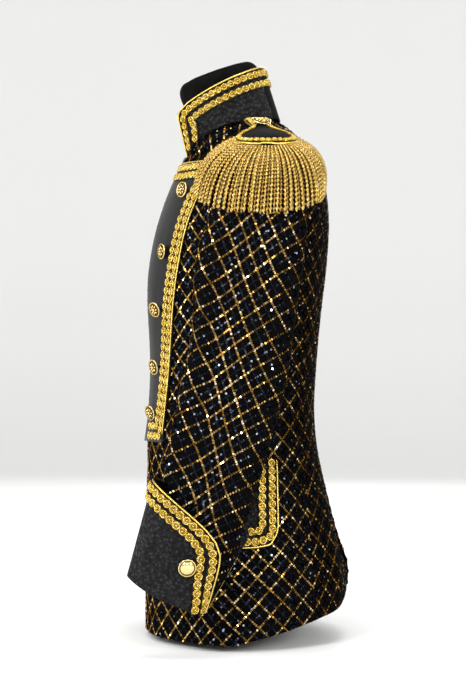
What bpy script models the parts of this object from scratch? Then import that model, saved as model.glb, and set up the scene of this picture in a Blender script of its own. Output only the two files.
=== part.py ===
# Sequin jacket on a limbless dress form.
# Metres, +Z up. The front faces -Y and the wearer's left is +X. The origin is the middle of the
# form's flat base, on the floor. The left side is worked out and the right side mirrors it.

from collections import namedtuple
from math import cos, pi, radians, sin, tan

import bmesh
import bpy
from mathutils import Matrix, Quaternion, Vector

COLLECTION = "sequin_jacket"

# Thickness of each kind of cloth, and the room left between pieces
CLOTH = 0.0016
SATIN = 0.0015
BROCADE = 0.0018
VELVET_BOARD = 0.0022
BRAID_THICK = 0.0012
SEAM_GAP = 0.0003
LAY_GAP = 0.0006

# Trims
BRAID_WIDE = 0.0125
BRAID_NEAR = 0.0095
BRAID_FAR = 0.0240
TRIM_ZONE = 0.0360
PIPING_RADIUS = 0.0012
PIPING_IN = 0.0010
STRIP_HALF = 0.0160
FRONT_BUTTON = 0.0230
CUFF_BUTTON = 0.0250
STRAP_BUTTON = 0.0240

# A level of the body: centre line point, mid point and outer point of a panel, each with the heading of
# the cloth in plan (degrees from +X, outward). Mid is the plastron's edge in front and the seam behind.
Level = namedtuple("Level", "inner head_in mid head_mid outer head_out")

FRONT_LEVELS = [
    Level((0.000, -0.1320, 0.0090), 0, (0.118, -0.0975, 0.0090), 34, (0.1960, 0.0000, 0.0090), 90),
    Level((0.000, -0.1320, 0.0570), 0, (0.117, -0.0975, 0.0570), 34, (0.1940, 0.0000, 0.0570), 90),
    Level((0.000, -0.1315, 0.1100), 0, (0.115, -0.0975, 0.1100), 34, (0.1910, 0.0010, 0.1100), 90),
    Level((0.000, -0.1310, 0.1650), 0, (0.111, -0.0980, 0.1650), 32, (0.1880, 0.0020, 0.1650), 90),
    Level((0.000, -0.1305, 0.2150), 0, (0.104, -0.0995, 0.2150), 30, (0.1840, 0.0030, 0.2150), 90),
    Level((0.000, -0.1290, 0.2600), 0, (0.097, -0.1010, 0.2600), 27, (0.1790, 0.0040, 0.2600), 90),
    Level((0.000, -0.1290, 0.2970), 0, (0.092, -0.1020, 0.2970), 25, (0.1720, 0.0050, 0.2970), 90),
    Level((0.000, -0.1275, 0.3440), 0, (0.094, -0.0970, 0.3440), 26, (0.1620, 0.0060, 0.3440), 90),
    Level((0.000, -0.1250, 0.3920), 0, (0.098, -0.0915, 0.3920), 27, (0.1560, 0.0070, 0.3920), 90),
    Level((0.000, -0.1255, 0.4450), 0, (0.102, -0.0880, 0.4450), 28, (0.1570, 0.0080, 0.4450), 90),
    Level((0.000, -0.1285, 0.5000), 0, (0.107, -0.0850, 0.5000), 29, (0.1620, 0.0100, 0.5000), 90),
    Level((0.000, -0.1275, 0.5520), 0, (0.113, -0.0785, 0.5520), 30, (0.1670, 0.0130, 0.5520), 90),
    Level((0.000, -0.1200, 0.6000), 0, (0.119, -0.0695, 0.6000), 31, (0.1680, 0.0200, 0.6000), 90),
    Level((0.000, -0.1120, 0.6320), 0, (0.124, -0.0610, 0.6290), 31, (0.1665, -0.0070, 0.6110), 70),
    Level((0.000, -0.1020, 0.6620), 0, (0.133, -0.0490, 0.6580), 29, (0.1670, -0.0220, 0.6380), 50),
    Level((0.000, -0.0915, 0.6880), 0, (0.144, -0.0340, 0.6850), 27, (0.1700, -0.0245, 0.6700), 30),
    Level((0.000, -0.0770, 0.7200), 0, (0.152, -0.0170, 0.7140), 22, (0.1755, -0.0150, 0.7010), 14),
    Level((0.000, -0.0705, 0.7305), 0, (0.152, -0.0095, 0.7210), 20, (0.1795, -0.0055, 0.7130), 12),
    Level((0.022, -0.0660, 0.7335), 14, (0.150, 0.0000, 0.7285), 20, (0.1845, 0.0050, 0.7240), 10),
    Level((0.045, -0.0530, 0.7525), 24, (0.146, 0.0130, 0.7410), 18, (0.1900, 0.0170, 0.7345), 8),
    Level((0.060, -0.0220, 0.7690), 24, (0.140, 0.0270, 0.7530), 14, (0.1960, 0.0310, 0.7415), 6),
    Level((0.065, 0.0060, 0.7770), 16, (0.137, 0.0345, 0.7590), 9, (0.1990, 0.0400, 0.7440), 5),
    Level((0.064, 0.0330, 0.7840), 6, (0.134, 0.0410, 0.7640), 5, (0.2000, 0.0470, 0.7450), 5),
]

BACK_LEVELS = [
    Level((0.000, 0.1730, 0.0640), 0, (0.150, 0.1180, 0.0390), -40, (0.1960, 0.0000, 0.0090), -90),
    Level((0.000, 0.1735, 0.1000), 0, (0.149, 0.1175, 0.0850), -40, (0.1940, 0.0000, 0.0570), -90),
    Level((0.000, 0.1620, 0.1380), 0, (0.143, 0.1160, 0.1280), -38, (0.1910, 0.0010, 0.1100), -90),
    Level((0.000, 0.1510, 0.1800), 0, (0.135, 0.1130, 0.1740), -36, (0.1880, 0.0020, 0.1650), -90),
    Level((0.000, 0.1410, 0.2200), 0, (0.127, 0.1090, 0.2180), -34, (0.1840, 0.0030, 0.2150), -90),
    Level((0.000, 0.1315, 0.2600), 0, (0.117, 0.1055, 0.2600), -32, (0.1790, 0.0040, 0.2600), -90),
    Level((0.000, 0.1250, 0.2970), 0, (0.108, 0.1030, 0.2970), -30, (0.1720, 0.0050, 0.2970), -90),
    Level((0.000, 0.1220, 0.3440), 0, (0.101, 0.1020, 0.3440), -28, (0.1620, 0.0060, 0.3440), -90),
    Level((0.000, 0.1240, 0.3920), 0, (0.101, 0.1020, 0.3920), -28, (0.1560, 0.0070, 0.3920), -90),
    Level((0.000, 0.1280, 0.4450), 0, (0.107, 0.1030, 0.4450), -32, (0.1570, 0.0080, 0.4450), -90),
    Level((0.000, 0.1335, 0.5000), 0, (0.121, 0.1000, 0.5000), -38, (0.1620, 0.0100, 0.5000), -90),
    Level((0.000, 0.1400, 0.5520), 0, (0.137, 0.0920, 0.5520), -46, (0.1670, 0.0130, 0.5520), -90),
    Level((0.000, 0.1440, 0.6000), 0, (0.151, 0.0820, 0.6000), -58, (0.1680, 0.0200, 0.6000), -90),
    Level((0.000, 0.1447, 0.6160), 0, (0.157, 0.0785, 0.6140), -64, (0.1670, 0.0440, 0.6045), -86),
    Level((0.000, 0.1448, 0.6320), 0, (0.1625, 0.0755, 0.6270), -66, (0.1655, 0.0660, 0.6185), -74),
    Level((0.000, 0.1435, 0.6560), 0, (0.1650, 0.0860, 0.6480), -52, None, 0),
    Level((0.000, 0.1395, 0.6840), 0, (0.1685, 0.0900, 0.6770), -42, None, 0),
    Level((0.000, 0.1315, 0.7110), 0, (0.1745, 0.0860, 0.7010), -34, None, 0),
    Level((0.000, 0.1195, 0.7370), 0, (0.1820, 0.0765, 0.7200), -26, None, 0),
    Level((0.000, 0.1020, 0.7600), 0, (0.1895, 0.0660, 0.7330), -20, None, 0),
    Level((0.000, 0.0700, 0.7860), 0, (0.1945, 0.0590, 0.7390), -10, None, 0),
    Level((0.034, 0.0620, 0.7865), -8, (0.1975, 0.0535, 0.7420), -5, None, 0),
    Level((0.054, 0.0500, 0.7855), -4, (0.1990, 0.0500, 0.7440), 0, None, 0),
    Level((0.064, 0.0330, 0.7840), 6, (0.2000, 0.0470, 0.7450), 5, None, 0),
]
ARMPIT_ROW = 12
PLASTRON_FOOT_ROW = 6
PLASTRON_FLARE = 0.0045
PLASTRON_TOP_ROW = 16
NECK_FRONT_ROW = 18
NECK_BACK_ROW = 20
SIDE_ROWS = 15

# Soft flutes of the skirt: middle across the panel (0 inner to 1 outer), half width, depth at the hem,
# and the height where each dies out
Flute = namedtuple("Flute", "panel middle half depth top")
FLUTES = [
    Flute("back", 0.22, 0.20, 0.0045, 0.26),
    Flute("back", 0.62, 0.18, -0.0040, 0.24),
    Flute("side", 0.25, 0.25, 0.0040, 0.24),
    Flute("front", 0.40, 0.16, 0.0030, 0.22),
    Flute("front", 0.70, 0.14, -0.0035, 0.22),
]

# Rings of the sleeve: its outermost and innermost points, front and back limits and forward pitch
Ring = namedtuple("Ring", "out_x out_z in_x in_z front back pitch")
SLEEVE_RINGS = [
    Ring(0.2200, 0.7370, 0.1745, 0.5995, -0.0290, 0.0980, 0),
    Ring(0.2420, 0.7170, 0.1765, 0.5930, -0.0320, 0.1040, 0),
    Ring(0.2560, 0.6860, 0.1775, 0.5850, -0.0345, 0.1065, 0),
    Ring(0.2640, 0.6460, 0.1775, 0.5730, -0.0400, 0.1060, 0),
    Ring(0.2670, 0.6000, 0.1770, 0.5560, -0.0490, 0.1030, 3),
    Ring(0.2680, 0.5450, 0.1765, 0.5230, -0.0550, 0.0960, 6),
    Ring(0.2680, 0.4870, 0.1755, 0.4750, -0.0575, 0.0885, 8),
    Ring(0.2680, 0.4280, 0.1750, 0.4220, -0.0620, 0.0805, 11),
    Ring(0.2680, 0.3700, 0.1770, 0.3680, -0.0740, 0.0680, 14),
    Ring(0.2700, 0.3150, 0.1900, 0.3150, -0.0850, 0.0510, 16),
    Ring(0.2720, 0.2620, 0.2050, 0.2620, -0.0940, 0.0350, 18),
    Ring(0.2700, 0.2080, 0.2110, 0.2080, -0.1010, 0.0160, 21),
    Ring(0.2660, 0.1500, 0.2140, 0.1500, -0.1120, -0.0040, 26),
    Ring(0.2707, 0.0850, 0.2200, 0.0850, -0.1220, -0.0490, 32),
]
RING_STEPS = 16
SLEEVE_FULLNESS = 2.15
ARMHOLE_OUT = 0.0008
ARMHOLE_IN = 0.0005
CREASE_RINGS = (4, 9)
CREASE_DEPTH = 0.0035

# The gauntlet cuff from its near rear edge round the front to its far rear edge: hem and top points
Station = namedtuple("Station", "hem top")
CUFF_STATIONS = [
    Station((0.2450, -0.0424, 0.0620), (0.2680, -0.0190, 0.1330)),
    Station((0.2550, -0.0470, 0.0630), (0.2730, -0.0190, 0.1560)),
    Station((0.2640, -0.0560, 0.0650), (0.2780, -0.0320, 0.1790)),
    Station((0.2700, -0.0740, 0.0730), (0.2800, -0.0560, 0.2030)),
    Station((0.2700, -0.1000, 0.0840), (0.2775, -0.0830, 0.2260)),
    Station((0.2600, -0.1280, 0.0990), (0.2660, -0.1030, 0.2440)),
    Station((0.2380, -0.1490, 0.1150), (0.2400, -0.1120, 0.2540)),
    Station((0.2180, -0.1370, 0.1120), (0.2150, -0.1010, 0.2500)),
    Station((0.2100, -0.1130, 0.1000), (0.2055, -0.0740, 0.2380)),
    Station((0.2085, -0.0860, 0.0850), (0.2045, -0.0400, 0.2230)),
    Station((0.2105, -0.0620, 0.0720), (0.2045, -0.0060, 0.2080)),
    Station((0.2130, -0.0480, 0.0640), (0.2045, 0.0160, 0.1920)),
    Station((0.2165, -0.0387, 0.0605), (0.2050, 0.0235, 0.1680)),
]

# The stand collar's top edge above each neckline point, from the left front to the centre back
COLLAR_TOP = [
    (0.0320, -0.0840, 0.7960),
    (0.0440, -0.0660, 0.8135),
    (0.0560, -0.0360, 0.8315),
    (0.0600, -0.0060, 0.8465),
    (0.0565, 0.0180, 0.8570),
    (0.0450, 0.0340, 0.8640),
    (0.0270, 0.0420, 0.8680),
    (0.0000, 0.0455, 0.8695),
]

# Sections of the dress form: height and middle of the ring, half width, half depth, fullness and tilt
Section = namedtuple("Section", "z y half_x half_y full tilt")
FORM_SECTIONS = [
    Section(0.0000, -0.0100, 0.1000, 0.0750, 2.0, 0),
    Section(0.0060, -0.0090, 0.1180, 0.0860, 2.0, 0),
    Section(0.0400, -0.0050, 0.1500, 0.1030, 2.1, 0),
    Section(0.1100, 0.0000, 0.1680, 0.1120, 2.1, 0),
    Section(0.2100, 0.0000, 0.1680, 0.1120, 2.1, 0),
    Section(0.3000, 0.0000, 0.1520, 0.1080, 2.1, 0),
    Section(0.3800, 0.0000, 0.1400, 0.1020, 2.0, 0),
    Section(0.4600, 0.0020, 0.1440, 0.1050, 2.0, 0),
    Section(0.5400, 0.0060, 0.1540, 0.1080, 2.0, 0),
    Section(0.6100, 0.0120, 0.1580, 0.1050, 2.0, 0),
    Section(0.6700, 0.0220, 0.1600, 0.0920, 2.0, 0),
    Section(0.7050, 0.0300, 0.1600, 0.0780, 2.1, 0),
    Section(0.7260, 0.0340, 0.1480, 0.0600, 2.1, 6),
    Section(0.7420, 0.0320, 0.1180, 0.0520, 2.0, 10),
    Section(0.7560, 0.0260, 0.0820, 0.0500, 2.0, 14),
    Section(0.7720, 0.0134, 0.0590, 0.0534, 2.0, 18),
    Section(0.8050, -0.0060, 0.0520, 0.0560, 2.0, 19),
    Section(0.8350, -0.0170, 0.0520, 0.0620, 2.0, 19),
    Section(0.8530, -0.0230, 0.0510, 0.0620, 2.0, 19),
    Section(0.8620, -0.0260, 0.0440, 0.0540, 2.0, 19),
]
FORM_STEPS = 20

# The epaulette: points along its middle line, its half width there and how far its sides droop
Board = namedtuple("Board", "x y z half droop")
BOARD_ROWS = [
    Board(0.0800, 0.0365, 0.7822, 0.0190, 0.0030),
    Board(0.1050, 0.0375, 0.7752, 0.0165, 0.0030),
    Board(0.1340, 0.0410, 0.7668, 0.0145, 0.0024),
    Board(0.1600, 0.0440, 0.7595, 0.0210, 0.0034),
    Board(0.1800, 0.0462, 0.7545, 0.0370, 0.0085),
    Board(0.2020, 0.0480, 0.7492, 0.0450, 0.0120),
    Board(0.2240, 0.0480, 0.7415, 0.0410, 0.0100),
    Board(0.2400, 0.0480, 0.7330, 0.0280, 0.0050),
    Board(0.2470, 0.0480, 0.7275, 0.0120, 0.0010),
]
FRINGE_STRANDS = 36
STRAND_WIDE = 0.0032
FRINGE_TURN = 102
RIM_MIDDLE = (0.2020, 0.0480, 0.7420)
RIM_HALF_X = 0.0490
RIM_HALF_Y = 0.0450
RIM_SLOPE = 0.0158
HANG_MIDDLE = (0.1600, 0.0430, 0.6680)
HANG_HALF_X = 0.1140
HANG_FRONT = 0.1000
HANG_BACK = 0.0900
HANG_INNER_X = 0.1520
HANG_DIP = 0.0400
HANG_FULLNESS = 2.8
HANG_BULGE = 0.0175
HANG_LIFT = 0.0030
HANG_BEND = 0.42
# The backing strip's corners below or beside its crest
RIM_DROP = 0.0035
STRIP_INNER_DROP = 0.0030
STRIP_OUTER_DROP = 0.0022
STRIP_CREST_OUT = 0.0018

# The pocket flap: stations round the side, each a panel and a place across it, and its lower edge
FlapStation = namedtuple("FlapStation", "panel across foot")
FLAP_STATIONS = [
    FlapStation("front", 5.0, 0.1500),
    FlapStation("front", 6.0, 0.1490),
    FlapStation("front", 7.0, 0.1490),
    FlapStation("front", 8.0, 0.1490),
    FlapStation("side", 1.0, 0.1490),
    FlapStation("side", 1.6, 0.1530),
    FlapStation("side", 2.0, 0.1700),
]
FLAP_TOP = 0.2765
FLAP_ROWS = 5
FLAP_HANG = 0.0016

# Shank buttons stand off the cloth and droop
SHANK = 0.0050
SHANK_RADIUS = 0.0022
SHANK_LIFT = 0.0016
BUTTON_DROOP = 20
BUTTON_DOME = 0.16
BUTTON_BACK = 0.0014
BUTTON_SIDES = 12

FRONT_BUTTON_HEIGHTS = [0.6760, 0.5860, 0.4985, 0.4120, 0.3420]
FRONT_BUTTON_COLUMN = 1.6


def clear_scene():
    for obj in list(bpy.data.objects):
        bpy.data.objects.remove(obj, do_unlink=True)


def make_material(name, colour, roughness, metallic=0.0):
    material = bpy.data.materials.new(name)
    material.use_nodes = True
    shader = material.node_tree.nodes["Principled BSDF"]
    shader.inputs["Base Color"].default_value = (*colour, 1.0)
    shader.inputs["Roughness"].default_value = roughness
    shader.inputs["Metallic"].default_value = metallic
    material.diffuse_color = (*colour, 1.0)
    return material


def add_object(name, data, look):
    colour, roughness, metallic = look
    data.materials.append(make_material(name, colour, roughness, metallic))
    obj = bpy.data.objects.new(name, data)
    bpy.data.collections[COLLECTION].objects.link(obj)
    return obj


SEQUIN_LOOK = ((0.012, 0.011, 0.012), 0.45, 0.0)
SATIN_LOOK = ((0.022, 0.022, 0.024), 0.35, 0.0)
BROCADE_LOOK = ((0.030, 0.029, 0.032), 0.60, 0.0)
VELVET_LOOK = ((0.006, 0.006, 0.006), 0.90, 0.0)
BRAID_LOOK = ((0.520, 0.330, 0.050), 0.35, 1.0)
BULLION_LOOK = ((0.600, 0.360, 0.110), 0.35, 1.0)
BUTTON_LOOK = ((0.700, 0.560, 0.270), 0.25, 1.0)


# Cloth as a grid of points, with the normals that Solidify uses, so that trims can lie on it

class Sheet:
    def __init__(self, rows, thick, offset=1.0, closed=False):
        self.rows = [[Vector(point) for point in row] for row in rows]
        self.thick = thick
        self.offset = offset
        self.closed = closed
        mesh = self.to_mesh("measure")
        wide = len(self.rows[0])
        self.normals = [
            [mesh.vertices[r * wide + c].normal.copy() for c in range(wide)] for r in range(len(self.rows))
        ]
        bpy.data.meshes.remove(mesh)

    def to_mesh(self, name):
        tall = len(self.rows)
        wide = len(self.rows[0])
        points = [point for row in self.rows for point in row]
        faces = []
        for r in range(tall - 1):
            for c in range(wide if self.closed else wide - 1):
                after = (c + 1) % wide
                faces.append((r * wide + c, r * wide + after, (r + 1) * wide + after, (r + 1) * wide + c))
        mesh = bpy.data.meshes.new(name)
        mesh.from_pydata(points, [], faces)
        mesh.update()
        return mesh

    def outer(self, r, c):
        grow = self.thick if self.offset > 0 else 0.0
        return self.rows[r][c] + self.normals[r][c] * grow

    # The facets' own point at a fractional row and column, moved out from the cloth's outer face
    def at(self, r, c, lift=0.0):
        r = min(max(r, 0.0), len(self.rows) - 1.0)
        c = min(max(c, 0.0), len(self.rows[0]) - 1.0)
        r0 = min(int(r), len(self.rows) - 2)
        c0 = min(int(c), len(self.rows[0]) - 2)
        fr = r - r0
        fc = c - c0
        grow = lift + (self.thick if self.offset > 0 else 0.0)
        point = Vector((0.0, 0.0, 0.0))
        for dr, share_r in ((0, 1 - fr), (1, fr)):
            for dc, share_c in ((0, 1 - fc), (1, fc)):
                corner = self.rows[r0 + dr][c0 + dc] + self.normals[r0 + dr][c0 + dc] * grow
                point += corner * (share_r * share_c)
        return point

    def normal(self, r, c):
        return (self.at(r, c, 0.001) - self.at(r, c, 0.0)).normalized()

    def build(self, name, look):
        mesh = self.to_mesh(name)
        mesh.shade_smooth()
        obj = add_object(name, mesh, look)
        wall = obj.modifiers.new("Wall", "SOLIDIFY")
        wall.thickness = self.thick
        wall.offset = self.offset
        wall.use_rim = True
        wall.use_even_offset = False
        return obj


def hermite(start, heading_in, end, heading_out, share):
    reach = (Vector(end).xy - Vector(start).xy).length
    begin = Vector((cos(radians(heading_in)), sin(radians(heading_in)))) * reach
    finish = Vector((cos(radians(heading_out)), sin(radians(heading_out)))) * reach
    a = 2 * share ** 3 - 3 * share ** 2 + 1
    b = share ** 3 - 2 * share ** 2 + share
    c = -2 * share ** 3 + 3 * share ** 2
    d = share ** 3 - share ** 2
    plan = Vector(start).xy * a + begin * b + Vector(end).xy * c + finish * d
    height = start[2] + (end[2] - start[2]) * share
    return Vector((plan.x, plan.y, height))


def flute_shift(panel, across, height):
    shift = 0.0
    for flute in FLUTES:
        near = abs(across - flute.middle) / flute.half
        if flute.panel == panel and near < 1.0 and height < flute.top:
            grow = (1.0 - height / flute.top) ** 1.3
            shift += flute.depth * grow * (0.5 + 0.5 * cos(pi * near))
    return shift


# Moves each inside point of a row along the row's own sideways normal
def fluted(row, panel):
    moved = [row[0].copy()]
    last = len(row) - 1
    for c in range(1, last):
        along = (row[c + 1] - row[c - 1]).xy.normalized()
        outward = Vector((along.y, -along.x, 0.0))
        moved.append(row[c] + outward * flute_shift(panel, c / last, row[c].z))
    moved.append(row[last].copy())
    return moved


# Trims the ends of a polyline by the seam's half gap
def trimmed(points, start, end):
    row = [point.copy() for point in points]
    row[0] += (row[1] - row[0]).normalized() * start
    row[-1] += (row[-2] - row[-1]).normalized() * end
    return row


def trim_rows(rows, top):
    for c in range(len(rows[0])):
        edge = rows[-1][c]
        rows[-1][c] = edge + (rows[-2][c] - edge).normalized() * top
    return rows


FRONT_INNER_STEPS = 4
FRONT_OUTER_STEPS = 4


def front_row(level):
    reach = (Vector(level.mid) - Vector(level.inner)).length * 1.02
    strip = STRIP_HALF / reach
    zone = 1.0 - TRIM_ZONE / reach
    shares = [0.0, strip, (strip + zone) / 2, zone, 1.0]
    row = [hermite(level.inner, level.head_in, level.mid, level.head_mid, share) for share in shares]
    for step in range(1, FRONT_OUTER_STEPS + 1):
        share = step / FRONT_OUTER_STEPS
        row.append(hermite(level.mid, level.head_mid, level.outer, level.head_out, share))
    return row


def front_rows():
    rows = []
    for level in FRONT_LEVELS:
        row = fluted(front_row(level), "front")
        rows.append(trimmed(row, SEAM_GAP / 2, SEAM_GAP / 2))
    return trim_rows(rows, SEAM_GAP)


BACK_STEPS = 6
SIDE_STEPS = 4
VENT_TOP = 0.26
VENT_OUT = 0.0030
VENT_LIFT = 0.0180


# The back's vent opens a little below the waist: its edge swings out and its corner lifts
def back_rows(vent_out, vent_lift):
    rows = []
    for level in BACK_LEVELS:
        row = []
        for step in range(BACK_STEPS + 1):
            share = step / BACK_STEPS
            point = hermite(level.inner, level.head_in, level.mid, level.head_mid, share)
            low = max(0.0, 1.0 - level.inner[2] / VENT_TOP) ** 1.5
            swing = (1.0 - share) ** 2 * low
            row.append(point + Vector((0.0, vent_out * swing, vent_lift * swing)))
        rows.append(trimmed(fluted(row, "back"), SEAM_GAP / 2, SEAM_GAP / 2))
    return trim_rows(rows, SEAM_GAP)


def side_rows():
    rows = []
    for level in BACK_LEVELS[:SIDE_ROWS]:
        row = []
        for step in range(SIDE_STEPS + 1):
            share = step / SIDE_STEPS
            row.append(hermite(level.mid, level.head_mid, level.outer, level.head_out, share))
        rows.append(trimmed(fluted(row, "side"), SEAM_GAP / 2, SEAM_GAP / 2))
    return rows


def outward_rows(rows):
    return [list(reversed(row)) for row in rows]


def mirrored(obj, name):
    data = obj.data.copy()
    data.name = name
    data.transform(obj.matrix_world)
    data.transform(Matrix.Scale(-1.0, 4, (1.0, 0.0, 0.0)))
    if isinstance(data, bpy.types.Mesh):
        data.flip_normals()
    data.materials.clear()
    shader = obj.data.materials[0].node_tree.nodes["Principled BSDF"].inputs
    look = (
        tuple(shader["Base Color"].default_value)[:3],
        shader["Roughness"].default_value,
        shader["Metallic"].default_value,
    )
    twin = add_object(name, data, look)
    for modifier in obj.modifiers:
        if modifier.type == "SOLIDIFY":
            wall = twin.modifiers.new("Wall", "SOLIDIFY")
            wall.thickness = modifier.thickness
            wall.offset = modifier.offset
            wall.use_rim = True
            wall.use_even_offset = False
    return twin


# Splits a path in rows and columns where it crosses the cloth's own grid lines
def grid_crossings(path):
    points = []
    for (r0, c0), (r1, c1) in zip(path, path[1:]):
        shares = {0.0}
        for low, high in ((r0, r1), (c0, c1)):
            if abs(high - low) > 1e-6:
                first, last = sorted((low, high))
                for line in range(int(first) - 1, int(last) + 2):
                    share = (line - low) / (high - low)
                    if 0.02 < share < 0.98:
                        shares.add(share)
        kept = []
        for share in sorted(shares):
            if not kept or share - kept[-1] > 0.03:
                kept.append(share)
        points += [(r0 + (r1 - r0) * share, c0 + (c1 - c0) * share) for share in kept]
    points.append(path[-1])
    return points


# How far a fractional column and row go in space, either way of a point of the sheet
def grid_steps(sheet, r, c):
    tall = len(sheet.rows) - 1.0
    wide = len(sheet.rows[0]) - 1.0
    step = 0.02
    c0 = max(c - step, 0.0)
    c1 = min(c + step, wide)
    r0 = max(r - step, 0.0)
    r1 = min(r + step, tall)
    across_c = (sheet.at(r, c1) - sheet.at(r, c0)) / (c1 - c0)
    across_r = (sheet.at(r1, c) - sheet.at(r0, c)) / (r1 - r0)
    return across_c, across_r


# Walks over the sheet from one place by a vector, in short steps
def walked(sheet, r, c, move, parts=6):
    tall = len(sheet.rows) - 1.0
    wide = len(sheet.rows[0]) - 1.0
    for _ in range(parts):
        across_c, across_r = grid_steps(sheet, r, c)
        cc = across_c.dot(across_c)
        rr = across_r.dot(across_r)
        cr = across_c.dot(across_r)
        mc = move.dot(across_c) / parts
        mr = move.dot(across_r) / parts
        lean = cc * rr - cr * cr
        c = min(max(c + (mc * rr - mr * cr) / lean, 0.0), wide)
        r = min(max(r + (mr * cc - mc * cr) / lean, 0.0), tall)
    return r, c


# Follows a border at a set distance inside it. The border runs clockwise as seen from outside.
def inset_path(sheet, border, inset):
    points = [sheet.at(r, c) for r, c in border]
    path = []
    for k, (r, c) in enumerate(border):
        before = (points[k] - points[max(k - 1, 0)]).normalized()
        after = (points[min(k + 1, len(points) - 1)] - points[k]).normalized()
        before = before if before.length > 0.5 else after
        after = after if after.length > 0.5 else before
        along = (before + after).normalized()
        inward = along.cross(sheet.normal(r, c)).normalized()
        mitre = 1.0 / max(along.dot(after), 0.6)
        path.append(walked(sheet, r, c, inward * inset * mitre))
    kept = [0]
    for k in range(1, len(path)):
        while len(kept) > 1:
            gone = sheet.at(*path[k]) - sheet.at(*path[kept[-1]])
            if gone.dot(points[k] - points[kept[-1]]) > 0 and gone.length > 0.004:
                break
            kept.pop()
        kept.append(k)
    return [path[k] for k in kept]


# A strip of braid laid along a path on a sheet, as a grid of two edges. Where the path crosses one of
# the sheet's own lines, both edges stay on that line.
def braid_rows(sheet, path, wide, lift, lanes):
    spots = grid_crossings(path)
    middle = [sheet.at(r, c, lift) for r, c in spots]
    rows = []
    for k, (r, c) in enumerate(spots):
        before = (middle[k] - middle[max(k - 1, 0)]).normalized()
        after = (middle[min(k + 1, len(spots) - 1)] - middle[k]).normalized()
        before = before if before.length > 0.5 else after
        after = after if after.length > 0.5 else before
        along = (before + after).normalized()
        aside = sheet.normal(r, c).cross(along).normalized()
        reach = wide / 2 / max(along.dot(after), 0.65)
        across_c, across_r = grid_steps(sheet, r, c)
        direction = aside
        for place, line in ((c, across_r.normalized()), (r, across_c.normalized())):
            square = aside.dot(line)
            if abs(place - round(place)) < 1e-4 and abs(square) > 0.6:
                direction = line / square
        row = []
        for lane in range(lanes + 1):
            place = walked(sheet, r, c, direction * reach * (1 - 2 * lane / lanes), 4)
            row.append(sheet.at(*place, lift))
        rows.append(row)
    return rows


def add_braid(name, sheet, path, wide=BRAID_WIDE, lanes=1, lift=LAY_GAP):
    strip = Sheet(braid_rows(sheet, path, wide, lift, lanes), BRAID_THICK)
    return strip.build(name, BRAID_LOOK)


def add_tube(name, points, radius, look):
    curve = bpy.data.curves.new(name, "CURVE")
    curve.dimensions = "3D"
    curve.bevel_depth = radius
    curve.bevel_resolution = 0
    curve.use_fill_caps = True
    curve.twist_mode = "MINIMUM"
    spline = curve.splines.new("POLY")
    spline.points.add(len(points) - 1)
    for spot, point in zip(spline.points, points):
        spot.co = (*point, 1.0)
    return add_object(name, curve, look)


def add_piping(name, sheet, path):
    spots = grid_crossings(path)
    lift = LAY_GAP + PIPING_RADIUS
    return add_tube(name, [sheet.at(r, c, lift) for r, c in spots], PIPING_RADIUS, BRAID_LOOK)


# A domed shank button, turned about its own Z axis, with the cloth's face at its origin
def add_button(name, across, place, facing):
    dome = across * BUTTON_DOME
    foot = SHANK
    profile = [
        (0.0, foot + dome),
        (across * 0.28, foot + dome * 0.80),
        (across * 0.47, foot + dome * 0.34),
        (across * 0.50, foot),
        (SHANK_RADIUS, foot - BUTTON_BACK),
        (SHANK_RADIUS, 0.0),
        (0.0, 0.0),
    ]
    mesh = bpy.data.meshes.new(name)
    edges = [(k, k + 1) for k in range(len(profile) - 1)]
    mesh.from_pydata([(x, 0.0, z) for x, z in profile], edges, [])
    obj = add_object(name, mesh, BUTTON_LOOK)
    turn = obj.modifiers.new("Turn", "SCREW")
    turn.steps = BUTTON_SIDES
    turn.render_steps = BUTTON_SIDES
    turn.use_merge_vertices = True
    turn.merge_threshold = 0.0001
    obj.location = place
    obj.rotation_mode = "QUATERNION"
    side = Vector((0.0, 0.0, 1.0)).cross(facing)
    droop = Quaternion(side, radians(BUTTON_DROOP)) if abs(facing[2]) < 0.7 else Quaternion()
    obj.rotation_quaternion = droop @ Vector(facing).to_track_quat("Z", "Y")
    return obj


def flipped_x(vector):
    return Vector((-vector[0], vector[1], vector[2]))


def superellipse(half_x, half_y, full, angle):
    c = cos(angle)
    s = sin(angle)
    x = half_x * abs(c) ** (2 / full) * (1 if c >= 0 else -1)
    y = half_y * abs(s) ** (2 / full) * (1 if s >= 0 else -1)
    return x, y


# The limbless form: tilted rings lofted from the flat base to the cut neck
def build_form():
    rings = []
    for section in FORM_SECTIONS:
        ring = []
        for step in range(FORM_STEPS):
            x, y = superellipse(section.half_x, section.half_y, section.full, 2 * pi * step / FORM_STEPS)
            ring.append(Vector((x, section.y + y, section.z + y * tan(radians(section.tilt)))))
        rings.append(ring)
    body = bmesh.new()
    loops = []
    for ring in rings:
        verts = [body.verts.new(point) for point in ring]
        loops.append(verts)
    for low, high in zip(loops, loops[1:]):
        for k in range(FORM_STEPS):
            after = (k + 1) % FORM_STEPS
            body.faces.new((low[k], low[after], high[after], high[k]))
    body.faces.new(list(reversed(loops[0])))
    body.faces.new(loops[-1])
    bmesh.ops.recalc_face_normals(body, faces=body.faces)
    mesh = bpy.data.meshes.new("dress_form")
    body.to_mesh(mesh)
    body.free()
    mesh.shade_smooth()
    mesh.set_sharp_from_angle(angle=radians(50))
    return add_object("dress_form", mesh, VELVET_LOOK)


# The armhole as two chains of outer corners, from the shoulder tip to the armpit
def armhole_chains(front, side, back):
    last = len(front.rows[0]) - 1
    front_chain = [front.outer(r, last) for r in range(len(front.rows) - 1, ARMPIT_ROW - 1, -1)]
    back_chain = [back.outer(r, 0) for r in range(len(back.rows) - 1, SIDE_ROWS - 1, -1)]
    side_chain = [side.outer(r, 0) for r in range(SIDE_ROWS - 1, ARMPIT_ROW - 1, -1)]
    return front_chain, back_chain + side_chain


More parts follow.
